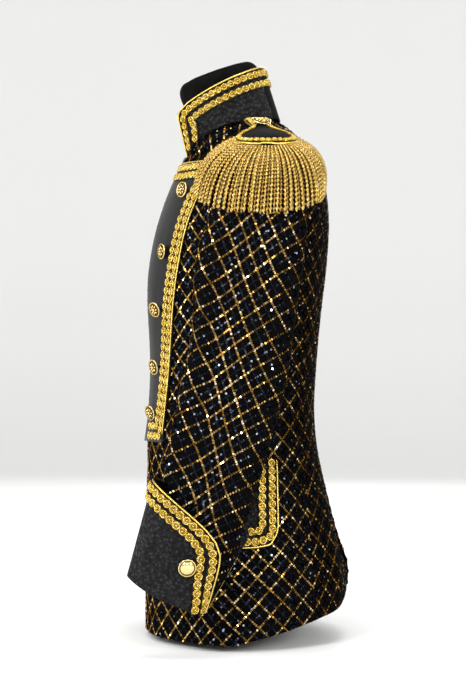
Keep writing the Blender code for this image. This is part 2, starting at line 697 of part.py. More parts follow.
def along_chain(chain, share):
    lengths = [0.0]
    for a, b in zip(chain, chain[1:]):
        lengths.append(lengths[-1] + (b - a).length)
    target = share * lengths[-1]
    for k in range(len(chain) - 1):
        if target <= lengths[k + 1] + 1e-9:
            part = (target - lengths[k]) / (lengths[k + 1] - lengths[k])
            return chain[k].lerp(chain[k + 1], part)
    return chain[-1].copy()


CUFF_ROWS = 3
CUFF_LAY = 0.0017
CUFF_COLUMNS = 16
CUFF_BUTTON_ROW = 1.44
CUFF_BUTTON_COLUMN = 12.1


# A smooth curve through a list of points, at a fractional place along it
def smooth_point(points, place):
    k = min(int(place), len(points) - 2)
    t = place - k
    p1 = points[k]
    p2 = points[k + 1]
    p0 = points[k - 1] if k > 0 else p1 * 2 - p2
    p3 = points[k + 2] if k + 2 < len(points) else p2 * 2 - p1
    square = 2 * p0 - 5 * p1 + 4 * p2 - p3
    cube = 3 * p1 - p0 - 3 * p2 + p3
    return 0.5 * (2 * p1 + (p2 - p0) * t + square * t * t + cube * t ** 3)


def cuff_line(which):
    points = [Vector(getattr(station, which)) for station in CUFF_STATIONS]
    last = len(points) - 1
    return [smooth_point(points, last * (1 - k / CUFF_COLUMNS)) for k in range(CUFF_COLUMNS + 1)]


def build_cuff():
    hem = cuff_line("hem")
    top = cuff_line("top")
    rows = []
    for step in range(CUFF_ROWS + 1):
        share = step / CUFF_ROWS
        rows.append([low.lerp(high, share) for low, high in zip(hem, top)])
    return Sheet(rows, BROCADE)


def sleeve_ring(ring):
    outermost = Vector((ring.out_x, ring.back, ring.out_z))
    innermost = Vector((ring.in_x, ring.front, ring.in_z))
    middle = (outermost + innermost) / 2
    half_out = Vector(((ring.out_x - ring.in_x) / 2, 0.0, (ring.out_z - ring.in_z) / 2))
    half_y = (ring.back - ring.front) / 2
    points = []
    for step in range(RING_STEPS):
        out, aside = superellipse(1.0, 1.0, SLEEVE_FULLNESS, 2 * pi * step / RING_STEPS)
        fall = -aside * half_y * tan(radians(ring.pitch))
        points.append(middle + half_out * out + Vector((0.0, aside * half_y, fall)))
    return points


def build_sleeve(front, side, back):
    front_chain, back_chain = armhole_chains(front, side, back)
    chain = front_chain + back_chain
    middle = sum(chain, Vector()) / len(chain)
    first = []
    for step in range(RING_STEPS):
        turn = 2 * step / RING_STEPS
        spot = along_chain(back_chain, turn) if turn <= 1.0 else along_chain(front_chain, 2.0 - turn)
        inward = middle - spot
        inward.x = 0.0
        first.append(spot + Vector((ARMHOLE_OUT, 0.0, 0.0)) + inward.normalized() * ARMHOLE_IN)
    rows = [first] + [sleeve_ring(ring) for ring in SLEEVE_RINGS]
    low, high = CREASE_RINGS
    column = RING_STEPS - 1
    for r in range(low + 1, high + 1):
        share = (r - low) / (high + 1 - low)
        toward = (rows[r][RING_STEPS // 2] - rows[r][column]).normalized()
        rows[r][column] += toward * CREASE_DEPTH * sin(pi * share)
    return Sheet([list(reversed(row)) for row in rows], CLOTH, offset=-1.0, closed=True)


# The border of a whole sheet up its near edge, across its top and down its far edge
def round_border(sheet, foot):
    tall = len(sheet.rows) - 1
    wide = len(sheet.rows[0]) - 1
    near = [(foot, 0)] + [(r, 0) for r in range(1, tall)]
    top = [(tall, c) for c in range(wide + 1)]
    far = [(r, wide) for r in range(tall - 1, 0, -1)] + [(foot, wide)]
    return near + top + far


COLLAR_SEAT = 0.0009
COLLAR_BRAID_WIDE = 0.0106
COLLAR_BRAID_FAR = 0.0248
COLLAR_LAY = 0.0014
COLLAR_FOOT = 0.12
COLLAR_COLUMNS = 10
COLLAR_SHARES = (0.0, 0.33, 0.66, 1.0)
COLLAR_BULGE = 0.0012
COLLAR_CROWDING = 1.25


def build_collar(front, back):
    base = []
    last = len(back.rows[0]) - 1
    for r in range(NECK_FRONT_ROW, len(FRONT_LEVELS)):
        base.append(front.at(r, 0, COLLAR_SEAT))
    for r in range(len(BACK_LEVELS) - 2, NECK_BACK_ROW - 1, -1):
        base.append(back.at(r, last, COLLAR_SEAT))
    base[-1].x = 0.0
    top = [Vector(point) for point in COLLAR_TOP]
    last = len(top) - 1
    places = [last * (k / COLLAR_COLUMNS) ** COLLAR_CROWDING for k in range(COLLAR_COLUMNS + 1)]
    base = [smooth_point(base, place) for place in places]
    top = [smooth_point(top, place) for place in places]
    rows = []
    for share in COLLAR_SHARES:
        half = [a.lerp(b, share) for a, b in zip(base, top)]
        for k, point in enumerate(half):
            point.x += COLLAR_BULGE * sin(pi * share) * (1.0 if k < len(half) - 1 else 0.0)
        other = [flipped_x(point) for point in reversed(half[:-1])]
        rows.append(half + other)
    return Sheet(rows, BROCADE)


def build_plastron(front):
    rows = []
    for r in range(PLASTRON_FOOT_ROW, PLASTRON_TOP_ROW + 1):
        row = []
        for c in range(1, FRONT_INNER_STEPS + 1):
            flare = 0.0
            if r == PLASTRON_FOOT_ROW:
                flare = PLASTRON_FLARE * (FRONT_INNER_STEPS - c) / (FRONT_INNER_STEPS - 1)
            row.append(front.at(r, c, LAY_GAP + flare))
        rows.append(row)
    return Sheet(rows, SATIN)


# Across the plastron's top, down its outer edge and back along its foot
def plastron_border(sheet, foot_end):
    tall = len(sheet.rows) - 1
    wide = len(sheet.rows[0]) - 1
    top = [(tall, 0.08)] + [(tall, c) for c in range(1, wide + 1)]
    down = [(r, wide) for r in range(tall - 1, 0, -1)]
    foot = [(0, wide), (0, foot_end)] if foot_end < wide else [(0.2, wide)]
    return top + down + foot


def build_flap(front, side):
    rows = []
    sheets = {"front": front, "side": side}
    for step in range(FLAP_ROWS + 1):
        row = []
        for station in FLAP_STATIONS:
            height = FLAP_TOP + (station.foot - FLAP_TOP) * step / FLAP_ROWS
            sheet = sheets[station.panel]
            r = 0
            while sheet.at(r + 1, station.across).z < height:
                r += 1
            low = sheet.at(r, station.across).z
            high = sheet.at(r + 1, station.across).z
            place = r + (height - low) / (high - low)
            hang = LAY_GAP if step == 0 else LAY_GAP + FLAP_HANG
            row.append(sheet.at(place, station.across, hang))
        rows.append(row)
    return Sheet(list(reversed(rows)), BROCADE)


def flap_border(sheet):
    tall = len(sheet.rows) - 1
    wide = len(sheet.rows[0]) - 1
    rear = [(r, wide) for r in range(tall, 0, -1)]
    foot = [(0, c) for c in range(wide, 0, -1)] + [(0, 0.2)]
    return rear + foot


BOARD_COLUMNS = 6
BOARD_SINK = 0.0007
BOARD_BRAID_IN = 0.0065
BOARD_BRAID_WIDE = 0.0085
STRAP_BUTTON_ROW = 2.1


def build_board():
    rows = []
    for board in BOARD_ROWS:
        row = []
        for step in range(BOARD_COLUMNS + 1):
            side = 2 * step / BOARD_COLUMNS - 1
            height = board.z - BOARD_SINK - board.droop * side * side
            row.append(Vector((board.x, board.y + board.half * side, height)))
        rows.append(row)
    return Sheet(outward_rows(rows), VELVET_BOARD)


def rim_point(turn):
    angle = radians(turn)
    x = RIM_MIDDLE[0] + RIM_HALF_X * cos(angle)
    y = RIM_MIDDLE[1] + RIM_HALF_Y * sin(angle)
    return Vector((x, y, RIM_MIDDLE[2] - RIM_SLOPE * cos(angle) - RIM_DROP))


def hang_point(turn):
    half_y = HANG_BACK if turn > 0 else HANG_FRONT
    x, y = superellipse(HANG_HALF_X, half_y, HANG_FULLNESS, radians(turn))
    dip = HANG_DIP * max(0.0, cos(radians(turn)))
    return Vector((max(HANG_MIDDLE[0] + x, HANG_INNER_X), HANG_MIDDLE[1] + y, HANG_MIDDLE[2] - dip))


# A three-cornered backing strip round the rim. Every second face of its underside is drawn down
# into a strand, so that each strand is rooted in the strip and stands apart from the next.
def build_fringe(name):
    count = 2 * FRINGE_STRANDS + 1
    mesh = bmesh.new()
    section = []
    for k in range(count + 1):
        turn = -FRINGE_TURN + 2 * FRINGE_TURN * k / count
        rim = rim_point(turn)
        outward = Vector((cos(radians(turn)), sin(radians(turn)), 0.0))
        inner = mesh.verts.new(rim - Vector((0.0, 0.0, STRIP_INNER_DROP)))
        outer = mesh.verts.new(rim + outward * STRAND_WIDE - Vector((0.0, 0.0, STRIP_OUTER_DROP)))
        crest = mesh.verts.new(rim + outward * STRIP_CREST_OUT)
        section.append((inner, outer, crest))
    roots = []
    for k in range(count):
        a = section[k]
        b = section[k + 1]
        under = mesh.faces.new((a[0], b[0], b[1], a[1]))
        mesh.faces.new((a[1], b[1], b[2], a[2]))
        mesh.faces.new((a[2], b[2], b[0], a[0]))
        if k % 2 == 1:
            roots.append((under, -FRINGE_TURN + 2 * FRINGE_TURN * (k + 0.5) / count))
    mesh.faces.new(section[0])
    mesh.faces.new(tuple(reversed(section[-1])))
    for under, turn in roots:
        start = under.calc_center_median()
        end = hang_point(turn)
        outward = Vector((cos(radians(turn)), sin(radians(turn)), 0.0))
        middle = start.lerp(end, HANG_BEND) + outward * HANG_BULGE + Vector((0.0, 0.0, HANG_LIFT))
        face = under
        for target in (middle, end):
            grown = bmesh.ops.extrude_discrete_faces(mesh, faces=[face])
            face = grown["faces"][0]
            move = target - face.calc_center_median()
            bmesh.ops.translate(mesh, verts=face.verts, vec=move)
    bmesh.ops.recalc_face_normals(mesh, faces=mesh.faces)
    data = bpy.data.meshes.new(name)
    mesh.to_mesh(data)
    mesh.free()
    return add_object(name, data, BULLION_LOOK)


def on_both_sides(obj, stem):
    obj.name = stem + "_left"
    obj.data.name = stem + "_left"
    return mirrored(obj, stem + "_right")


def build_body():
    front = Sheet(front_rows(), CLOTH)
    side = Sheet(outward_rows(side_rows()), CLOTH)
    back = Sheet(outward_rows(back_rows(0.0, 0.0)), CLOTH)
    far_back = Sheet(outward_rows(back_rows(VENT_OUT, VENT_LIFT)), CLOTH)
    on_both_sides(front.build("front", SEQUIN_LOOK), "front")
    on_both_sides(side.build("side", SEQUIN_LOOK), "side")
    back.build("back_left", SEQUIN_LOOK)
    other = far_back.build("back_far", SEQUIN_LOOK)
    mirrored(other, "back_right")
    bpy.data.objects.remove(other, do_unlink=True)
    return front, side, back


def build_collar_set(front, back):
    collar = build_collar(front, back)
    collar.build("collar", BROCADE_LOOK)
    border = round_border(collar, COLLAR_FOOT)
    for name, inset in (("collar_braid_outer", BRAID_NEAR), ("collar_braid_inner", COLLAR_BRAID_FAR)):
        add_braid(name, collar, inset_path(collar, border, inset), COLLAR_BRAID_WIDE, 2, COLLAR_LAY)
    add_piping("collar_piping", collar, inset_path(collar, border, PIPING_IN))


def build_plastron_set(front):
    plastron = build_plastron(front)
    on_both_sides(plastron.build("plastron", SATIN_LOOK), "plastron")
    border = plastron_border(plastron, 1.25)
    for stem, inset in (("plastron_braid_outer", BRAID_NEAR), ("plastron_braid_inner", BRAID_FAR)):
        on_both_sides(add_braid(stem, plastron, inset_path(plastron, border, inset)), stem)
    edge = inset_path(plastron, plastron_border(plastron, 9), PIPING_IN)
    on_both_sides(add_piping("plastron_piping", plastron, edge), "plastron_piping")
    for k, height in enumerate(FRONT_BUTTON_HEIGHTS):
        r = 0
        while plastron.at(r + 1, FRONT_BUTTON_COLUMN).z < height:
            r += 1
        low = plastron.at(r, FRONT_BUTTON_COLUMN).z
        place = r + (height - low) / (plastron.at(r + 1, FRONT_BUTTON_COLUMN).z - low)
        spot = plastron.at(place, FRONT_BUTTON_COLUMN, SHANK_LIFT)
        facing = plastron.normal(place, FRONT_BUTTON_COLUMN)
        add_button("front_button_left_%d" % (k + 1), FRONT_BUTTON, spot, facing)
        add_button("front_button_right_%d" % (k + 1), FRONT_BUTTON, flipped_x(spot), flipped_x(facing))


def build_cuff_set():
    cuff = build_cuff()
    on_both_sides(cuff.build("cuff", BROCADE_LOOK), "cuff")
    for stem, inset in (("cuff_braid_outer", BRAID_NEAR), ("cuff_braid_inner", BRAID_FAR)):
        path = inset_path(cuff, round_border(cuff, 0.2), inset)
        on_both_sides(add_braid(stem, cuff, path, lift=CUFF_LAY), stem)
    edge = inset_path(cuff, round_border(cuff, 0.05), PIPING_IN)
    on_both_sides(add_piping("cuff_piping", cuff, edge), "cuff_piping")
    spot = cuff.at(CUFF_BUTTON_ROW, CUFF_BUTTON_COLUMN, SHANK_LIFT)
    facing = cuff.normal(CUFF_BUTTON_ROW, CUFF_BUTTON_COLUMN)
    add_button("cuff_button_left", CUFF_BUTTON, spot, facing)
    add_button("cuff_button_right", CUFF_BUTTON, flipped_x(spot), flipped_x(facing))


def build_flap_set(front, side):
    flap = build_flap(front, side)
    on_both_sides(flap.build("flap", BROCADE_LOOK), "flap")
    for stem, inset in (("flap_braid_outer", BRAID_NEAR), ("flap_braid_inner", BRAID_FAR)):
        on_both_sides(add_braid(stem, flap, inset_path(flap, flap_border(flap), inset)), stem)
    edge = inset_path(flap, flap_border(flap), PIPING_IN)
    on_both_sides(add_piping("flap_piping", flap, edge), "flap_piping")


def build_epaulette():
    board = build_board()
    on_both_sides(board.build("epaulette", VELVET_LOOK), "epaulette")
    tall = len(board.rows) - 1
    wide = len(board.rows[0]) - 1
    tip = [(tall, c) for c in range(2, wide - 1, 2)]
    border = [(r, 0) for r in range(tall)] + tip + [(r, wide) for r in range(tall - 1, -1, -1)]
    path = inset_path(board, border, BOARD_BRAID_IN)
    on_both_sides(add_braid("epaulette_braid", board, path, wide=BOARD_BRAID_WIDE), "epaulette_braid")
    on_both_sides(build_fringe("epaulette_fringe"), "epaulette_fringe")
    spot = board.at(STRAP_BUTTON_ROW, BOARD_COLUMNS / 2, SEAM_GAP)
    facing = board.normal(STRAP_BUTTON_ROW, BOARD_COLUMNS / 2)
    add_button("epaulette_button_left", STRAP_BUTTON, spot, facing)
    add_button("epaulette_button_right", STRAP_BUTTON, flipped_x(spot), flipped_x(facing))


def main():
    clear_scene()
    parts = bpy.data.collections.new(COLLECTION)
    bpy.context.scene.collection.children.link(parts)
    build_form()
    front, side, back = build_body()
    sleeve = build_sleeve(front, side, back)
    on_both_sides(sleeve.build("sleeve", SEQUIN_LOOK), "sleeve")
    build_collar_set(front, back)
    build_plastron_set(front)
    build_cuff_set()
    build_flap_set(front, side)
    build_epaulette()


main()
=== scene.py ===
import bmesh
import bpy
import random
from math import cos, pi, radians, sin, tan

import numpy as np
from mathutils import Matrix, Vector
from mathutils.bvhtree import BVHTree


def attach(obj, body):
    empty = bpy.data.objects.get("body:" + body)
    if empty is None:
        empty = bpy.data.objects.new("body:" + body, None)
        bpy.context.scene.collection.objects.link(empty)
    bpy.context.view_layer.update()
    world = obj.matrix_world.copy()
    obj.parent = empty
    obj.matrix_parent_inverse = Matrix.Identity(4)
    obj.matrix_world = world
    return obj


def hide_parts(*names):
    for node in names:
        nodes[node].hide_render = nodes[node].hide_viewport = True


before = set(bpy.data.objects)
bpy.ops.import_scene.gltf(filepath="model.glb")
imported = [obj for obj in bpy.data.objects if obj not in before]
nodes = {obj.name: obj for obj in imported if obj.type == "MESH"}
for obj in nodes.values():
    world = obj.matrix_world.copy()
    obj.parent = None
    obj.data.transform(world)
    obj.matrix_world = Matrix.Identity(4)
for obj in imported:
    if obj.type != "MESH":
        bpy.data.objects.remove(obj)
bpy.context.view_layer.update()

sides = {"left": 1.0, "right": -1.0}

# camera, lights and sky come first, so that every test render is framed like the photograph

view = {
    "place": (3.0, 0.0, 0.436),
    "aim": (0.0, 0.0, 0.436),
    "lit": (0.0, 0.0, 0.45),
    "lens": 100.0,
    "sensor": 36.0,
    "sky": 0.80,
    "skyColour": "f4f4f3",
}

lamps = [
    {"name": "keySoftbox", "place": (2.6, -1.7, 2.3), "size": 1.3, "power": 56.0},
    {"name": "nearSoftbox", "place": (3.3, 0.55, 1.0), "size": 0.55, "power": 16.0},
    {"name": "rearSoftbox", "place": (1.7, 2.4, 1.5), "size": 1.1, "power": 38.0},
    {"name": "frontSoftbox", "place": (0.3, -3.0, 1.3), "size": 1.2, "power": 30.0},
    {"name": "topSoftbox", "place": (0.2, 0.0, 3.0), "size": 1.6, "power": 34.0},
    {"name": "farSoftbox", "place": (-2.8, 0.4, 1.8), "size": 1.4, "power": 34.0},
]


def linear(hexText):
    channels = [int(hexText[i:i + 2], 16) / 255 for i in (0, 2, 4)]
    return tuple(c / 12.92 if c <= 0.04045 else ((c + 0.055) / 1.055) ** 2.4 for c in channels) + (1.0,)


def aimed(obj, place, aim):
    obj.location = place
    obj.rotation_euler = (Vector(aim) - Vector(place)).to_track_quat("-Z", "Y").to_euler()
    bpy.context.scene.collection.objects.link(obj)
    return obj


def setUpView():
    cameraData = bpy.data.cameras.new("photoCamera")
    cameraData.sensor_fit = "VERTICAL"
    cameraData.sensor_height = view["sensor"]
    cameraData.lens = view["lens"]
    cameraData.clip_end = 30.0
    camera = bpy.data.objects.new("photoCamera", cameraData)
    bpy.context.scene.camera = aimed(camera, view["place"], view["aim"])
    for lamp in lamps:
        lightData = bpy.data.lights.new(lamp["name"], "AREA")
        lightData.shape = "DISK"
        lightData.size = lamp["size"]
        lightData.energy = lamp["power"]
        aimed(bpy.data.objects.new(lamp["name"], lightData), lamp["place"], view["lit"])
    world = bpy.data.worlds.new("studioSky")
    world.use_nodes = True
    sky = world.node_tree.nodes["Background"]
    sky.inputs["Color"].default_value = linear(view["skyColour"])
    sky.inputs["Strength"].default_value = view["sky"]
    bpy.context.scene.world = world
    bpy.context.scene.view_settings.view_transform = "Standard"


# colours along each finish's pattern; gold foil is painted dull brown for the dark it mostly reflects, with a
# few discs painted almost white as glints, and black foil stays dark but for a few discs painted pale as
# glints
stops = {
    "net": [(0.3, "020203"), (0.7, "060607")],
    "goldFoil": [(0.0, "4a3616"), (0.45, "7a5c2b"), (0.8, "ad8849"), (1.0, "ffe9c0")],
    "blackFoil": [(0.0, "17181c"), (0.55, "26272e"), (0.86, "444754"), (1.0, "cdd0da")],
    # satin: the lighter end is a painted sheen on the ridges of the folds
    "satin": [(0.3, "0a0a0b"), (0.7, "131314")],
    # brocade: the pale end is a painted highlight on the block tops, the black end painted shade between them
    "brocade": [(0.05, "39373f"), (0.26, "121114"), (0.5, "020202")],
    "tape": [(0.3, "6e5518"), (0.7, "a58430")],
    "braid": [(0.3, "b58c28"), (0.5, "e0bf52"), (0.75, "fbeeb4")],
    "piping": [(0.3, "d8b040"), (0.7, "fae07c")],
    "bullion": [(0.3, "a18138"), (0.6, "cdac5e"), (0.8, "f4e6b8")],
    # button: the dark brown end is painted shade in the grooves and hollows
    "button": [(0.0, "2e1f08"), (0.5, "a07c36"), (1.0, "ead69a")],
}


def material(name, values):
    made = bpy.data.materials.new(name)
    made.use_nodes = True
    shader = made.node_tree.nodes["Principled BSDF"]
    for key, value in values.items():
        shader.inputs[key].default_value = value
    return made, shader


# adds one node, with its constant inputs, links, settings and colour stops, and gives one of its outputs
def addNode(made, kind, output, inputs=None, links=None, settings=None, stops=()):
    node = made.node_tree.nodes.new(kind)
    for key, value in (settings or {}).items():
        setattr(node, key, value)
    for key, value in (inputs or {}).items():
        node.inputs[key].default_value = value
    for key, source in (links or {}).items():
        made.node_tree.links.new(source, node.inputs[key])
    if stops:
        elements = node.color_ramp.elements
        while len(elements) < len(stops):
            elements.new(0.5)
        for element, (place, colour) in zip(elements, stops):
            element.position = place
            element.color = linear(colour)
    return node.outputs[output]


# links a material's patterns to the sockets of its shader, and gives the material
def linked(made, shader, sources):
    for socket, source in sources.items():
        made.node_tree.links.new(source, shader.inputs[socket])
    return made


# cloth or thread: clouded in colour by a soft noise, with a fine pattern standing up from it
def woven(name, values, cloud, colours, kind, output, pattern, depth, settings=None):
    made, shader = material(name, values)
    point = addNode(made, "ShaderNodeTexCoord", "Object")
    soft = addNode(made, "ShaderNodeTexNoise", "Fac", cloud, {"Vector": point})
    colour = addNode(made, "ShaderNodeValToRGB", "Color", links={"Fac": soft}, stops=colours)
    relief = addNode(made, kind, output, pattern, {"Vector": point}, settings)
    bump = addNode(made, "ShaderNodeBump", "Normal", depth, {"Height": relief})
    return linked(made, shader, {"Base Color": colour, "Normal": bump})


# matt black ground that the sequins are sewn to: a fine net weave that swallows light
def netGround():
    values = {"Roughness": 0.9, "Specular IOR Level": 0.04}
    cloud = {"Scale": 60.0, "Detail": 4.0}
    net = {"Scale": 1400.0}
    depth = {"Strength": 0.5, "Distance": 0.0004}
    colours = stops["net"]
    return woven("blackSequinNet", values, cloud, colours, "ShaderNodeTexVoronoi", "Distance", net, depth)


# thin foil discs, each of its own tint, the highest painted near white as glints, so the lines glitter
# unevenly; tinted at grazing angles
def foil(name, rough, edge, colours):
    made, shader = material(name, {"Metallic": 1.0, "Roughness": rough, "Specular Tint": linear(edge)})
    tint = addNode(made, "ShaderNodeAttribute", "Fac", settings={"attribute_name": "tint"})
    colour = addNode(made, "ShaderNodeValToRGB", "Color", links={"Fac": tint}, stops=colours)
    return linked(made, shader, {"Base Color": colour})


# heavy satin: smooth, with a soft sheen down the folds and a very fine vertical thread; its colour is painted
# lighter in vertical streaks on the fold ridges, a painted sheen
def satin():
    made, shader = material("blackSatin", {"Roughness": 0.38, "Specular IOR Level": 0.15})
    point = addNode(made, "ShaderNodeTexCoord", "Object")
    drawn = addNode(made, "ShaderNodeMapping", "Vector", {"Scale": (1.0, 1.0, 0.22)}, {"Vector": point})
    soft = addNode(made, "ShaderNodeTexNoise", "Fac", {"Scale": 26.0, "Detail": 3.0}, {"Vector": drawn})
    fine = addNode(made, "ShaderNodeTexNoise", "Fac", {"Scale": 900.0, "Detail": 2.0}, {"Vector": drawn})
    # the same noise that raises the folds lightens the colour on their ridges: painted sheen
    colour = addNode(made, "ShaderNodeValToRGB", "Color", links={"Fac": soft}, stops=stops["satin"])
    folds = addNode(made, "ShaderNodeBump", "Normal", {"Strength": 0.45, "Distance": 0.004}, {"Height": soft})
    over = {"Height": fine, "Normal": folds}
    bump = addNode(made, "ShaderNodeBump", "Normal", {"Strength": 0.25, "Distance": 0.0003}, over)
    return linked(made, shader, {"Base Color": colour, "Normal": bump})


# crinkled brocade: small raised blocks, glossy on top and dull between, in black thread; the colour is
# painted pale grey on the block tops as a highlight and near black between them as shade
def brocade():
    made, shader = material("blackCrinkledBrocade", {"Specular IOR Level": 0.24})
    point = addNode(made, "ShaderNodeTexCoord", "Object")
    cells = {"Scale": 190.0, "Smoothness": 0.3, "Randomness": 0.9}
    kind = {"feature": "SMOOTH_F1"}
    blocks = addNode(made, "ShaderNodeTexVoronoi", "Distance", cells, {"Vector": point}, kind)
    creased = {"Scale": 120.0, "Detail": 5.0, "Distortion": 1.5}
    crinkle = addNode(made, "ShaderNodeTexNoise", "Fac", creased, {"Vector": point})
    # pale on the tops of the blocks as a painted highlight, near black between them as painted shade
    colour = addNode(made, "ShaderNodeValToRGB", "Color", links={"Fac": blocks}, stops=stops["brocade"])
    span = {"From Min": 0.1, "From Max": 0.7, "To Min": 0.3, "To Max": 0.8}
    rough = addNode(made, "ShaderNodeMapRange", "Result", span, {"Value": blocks})
    deep = {"Strength": 1.0, "Distance": 0.0030}
    low = addNode(made, "ShaderNodeBump", "Normal", deep, {"Height": blocks}, {"invert": True})
    over = {"Height": crinkle, "Normal": low}
    bump = addNode(made, "ShaderNodeBump", "Normal", {"Strength": 0.9, "Distance": 0.0050}, over)
    return linked(made, shader, {"Base Color": colour, "Roughness": rough, "Normal": bump})


# velvet: almost no colour face on, with a faint bloom at grazing angles and brushed patches
def velvet(name, deep, brushed):
    values = {"Roughness": 0.95, "Specular IOR Level": 0.06, "Sheen Weight": 0.02, "Sheen Roughness": 0.3}
    cloud = {"Scale": 35.0, "Detail": 6.0}
    pile = {"Scale": 1500.0, "Detail": 2.0}
    depth = {"Strength": 0.35, "Distance": 0.0004}
    colours = [(0.35, deep), (0.75, brushed)]
    return woven(name, values, cloud, colours, "ShaderNodeTexNoise", "Fac", pile, depth)


# metal thread: spun gold over a core, so its light breaks up along fine turns
def goldThread(name, rough, turns, strength, colours):
    values = {"Metallic": 0.95, "Roughness": rough}
    cloud = {"Scale": 260.0, "Detail": 3.0}
    lay = {"Scale": turns, "Distortion": 3.0, "Detail": 1.0}
    depth = {"Strength": strength, "Distance": 0.0004}
    slant = {"bands_direction": "DIAGONAL"}
    return woven(name, values, cloud, colours, "ShaderNodeTexWave", "Fac", lay, depth, slant)


# button metal: polished pale gold on what stands up, and dark brown in the grooves and hollows, a painted
# shade, where the metal is also rougher
def buttonMetal():
    made, shader = material("paleGoldButton", {"Metallic": 1.0, "Specular Tint": linear("c09a4c")})
    polishAndShade = addNode(made, "ShaderNodeAttribute", "Fac", settings={"attribute_name": "tint"})
    colour = addNode(made, "ShaderNodeValToRGB", "Color", links={"Fac": polishAndShade}, stops=stops["button"])
    rough = addNode(made, "ShaderNodeMapRange", "Result", {"To Min": 0.45, "To Max": 0.14}, {"Value": polishAndShade})
    return linked(made, shader, {"Base Color": colour, "Roughness": rough})


# pale studio paper: matt, so that it takes little more than the object's soft shadow
def studioPaper(colour):
    paper = {"Base Color": linear(colour), "Roughness": 0.8, "Specular IOR Level": 0.1}
    return material("paleStudioPaper", paper)[0]


setUpView()
looks = {
    "net": netGround(),
    "goldSequin": foil("goldSequinFoil", 0.2, "c8a66c", stops["goldFoil"]),
    "blackSequin": foil("blackSequinFoil", 0.18, "343640", stops["blackFoil"]),
    "satin": satin(),
    "brocade": brocade(),
    "board": velvet("blackVelvetBoard", "060606", "141414"),
    "form": velvet("blackVelvetForm", "050505", "121212"),
    "braidTape": goldThread("goldBraidTape", 0.45, 900.0, 0.6, stops["tape"]),
    "braid": goldThread("goldBraidThread", 0.26, 1300.0, 0.5, stops["braid"]),
    "piping": goldThread("goldPipingCord", 0.25, 1500.0, 0.3, stops["piping"]),
    "bullion": goldThread("goldBullionCord", 0.27, 1500.0, 0.12, stops["bullion"]),
    "button": buttonMetal(),
}
print("stage: view and materials")


def newObject(name, mesh):
    obj = bpy.data.objects.new(name, mesh)
    bpy.context.scene.collection.objects.link(obj)
    return obj


# makes an object of a bmesh, and frees the bmesh
def objectFrom(name, mesh):
    data = bpy.data.meshes.new(name)
    mesh.to_mesh(data)
    mesh.free()
    return newObject(name, data)


# a copy of a solid, with the corners of its loose triangles merged
def nodeMesh(node):
    mesh = bmesh.new()
    mesh.from_mesh(nodes[node].data)
    bmesh.ops.remove_doubles(mesh, verts=mesh.verts, dist=1e-6)
    return mesh


# joins pairs of triangles that bend less than one angle into quads no more skewed than another
def joinPairs(mesh, bend, skew):
    limits = {"angle_face_threshold": radians(bend), "angle_shape_threshold": radians(skew)}
    bmesh.ops.join_triangles(mesh, faces=mesh.faces, **limits)


# turns a profile of vertices and edges into a closed round shape about z
def spun(mesh, geom, steps):
    bmesh.ops.spin(mesh, geom=geom, cent=(0, 0, 0), axis=(0, 0, 1), angle=2 * pi, steps=steps, use_merge=True)
    bmesh.ops.remove_doubles(mesh, verts=mesh.verts, dist=1e-5)


# a turned shape from its profile of (radius, height)
def turned(mesh, profile, steps):
    verts = [mesh.verts.new((x, 0.0, z)) for x, z in profile]
    edges = [mesh.edges.new(pair) for pair in zip(verts, verts[1:])]
    spun(mesh, verts + edges, steps)


# the points and faces of a small shape that is used many times
def templateFrom(mesh):
    mesh.verts.index_update()
    points = np.array([v.co[:] for v in mesh.verts])
    faces = [[v.index for v in face.verts] for face in mesh.faces]
    mesh.free()
    return points, faces


def unit(vector):
    return vector / np.linalg.norm(vector)


# how far along a line each of its points is
def walked(points):
    return np.concatenate([[0.0], np.cumsum(np.linalg.norm(np.diff(points, axis=0), axis=1))])


def between(at, far, values):
    return np.array([np.interp(at, far, values[:, i]) for i in range(3)])


# a frame with z along up, and x as near to run as it can be
def frameMatrix(up, run, place):
    up = unit(up)
    x = unit(run - up * (run @ up))
    made = np.eye(4)
    made[:3, 0], made[:3, 1], made[:3, 2], made[:3, 3] = x, np.cross(up, x), up, place
    return made


def paint(obj, *names):
    obj.data.materials.clear()
    for name in names:
        obj.data.materials.append(looks[name])


def vertexValues(mesh, kind):
    flat = np.empty(len(mesh.vertices) * 3)
    mesh.vertices.foreach_get(kind, flat)
    return flat.reshape(-1, 3)


def pointsOf(mesh):
    return vertexValues(mesh, "co")


def normalsOf(mesh):
    return vertexValues(mesh, "normal")


def trianglesOf(mesh):
    mesh.calc_loop_triangles()
    return np.array([t.loops[:] for t in mesh.loop_triangles])


def addSmooth(obj, levels):
    smooth = obj.modifiers.new("Smooth", "SUBSURF")
    smooth.levels = levels
    smooth.render_levels = levels
    return smooth


def setPoints(mesh, points):
    mesh.vertices.foreach_set("co", points.reshape(-1))
    mesh.update()


# the line down the middle of a sleeve, and the girth there
sleeveAxis = {
    "height": [0.05, 0.15, 0.26, 0.37, 0.49, 0.60, 0.75],
    "x": [0.236, 0.240, 0.238, 0.2225, 0.2217, 0.222, 0.210],
    "y": [-0.085, -0.058, -0.0295, -0.003, 0.0155, 0.027, 0.035],
    "girth": [0.24, 0.27, 0.30, 0.36, 0.38, 0.42, 0.42],
}


# a point behind the outer face of each kind of wall, at the face's height where it gives none
behind = {
    "body": (0.0, 0.012, None),
    "limb": (0.225, 0.0, None),
    "board": (0.17, 0.045, 0.0),
}


def behindPoint(nodeName, centre):
    kind = nodeName.split("_")[0]
    group = "limb" if kind in ("sleeve", "cuff") else "board" if kind == "epaulette" else "body"
    x, y, z = behind[group]
    mirror = -1.0 if "right" in nodeName else 1.0
    if group == "limb":
        y = float(np.interp(centre.z, sleeveAxis["height"], sleeveAxis["y"]))
    return Vector((x * mirror, y, centre.z if z is None else z))


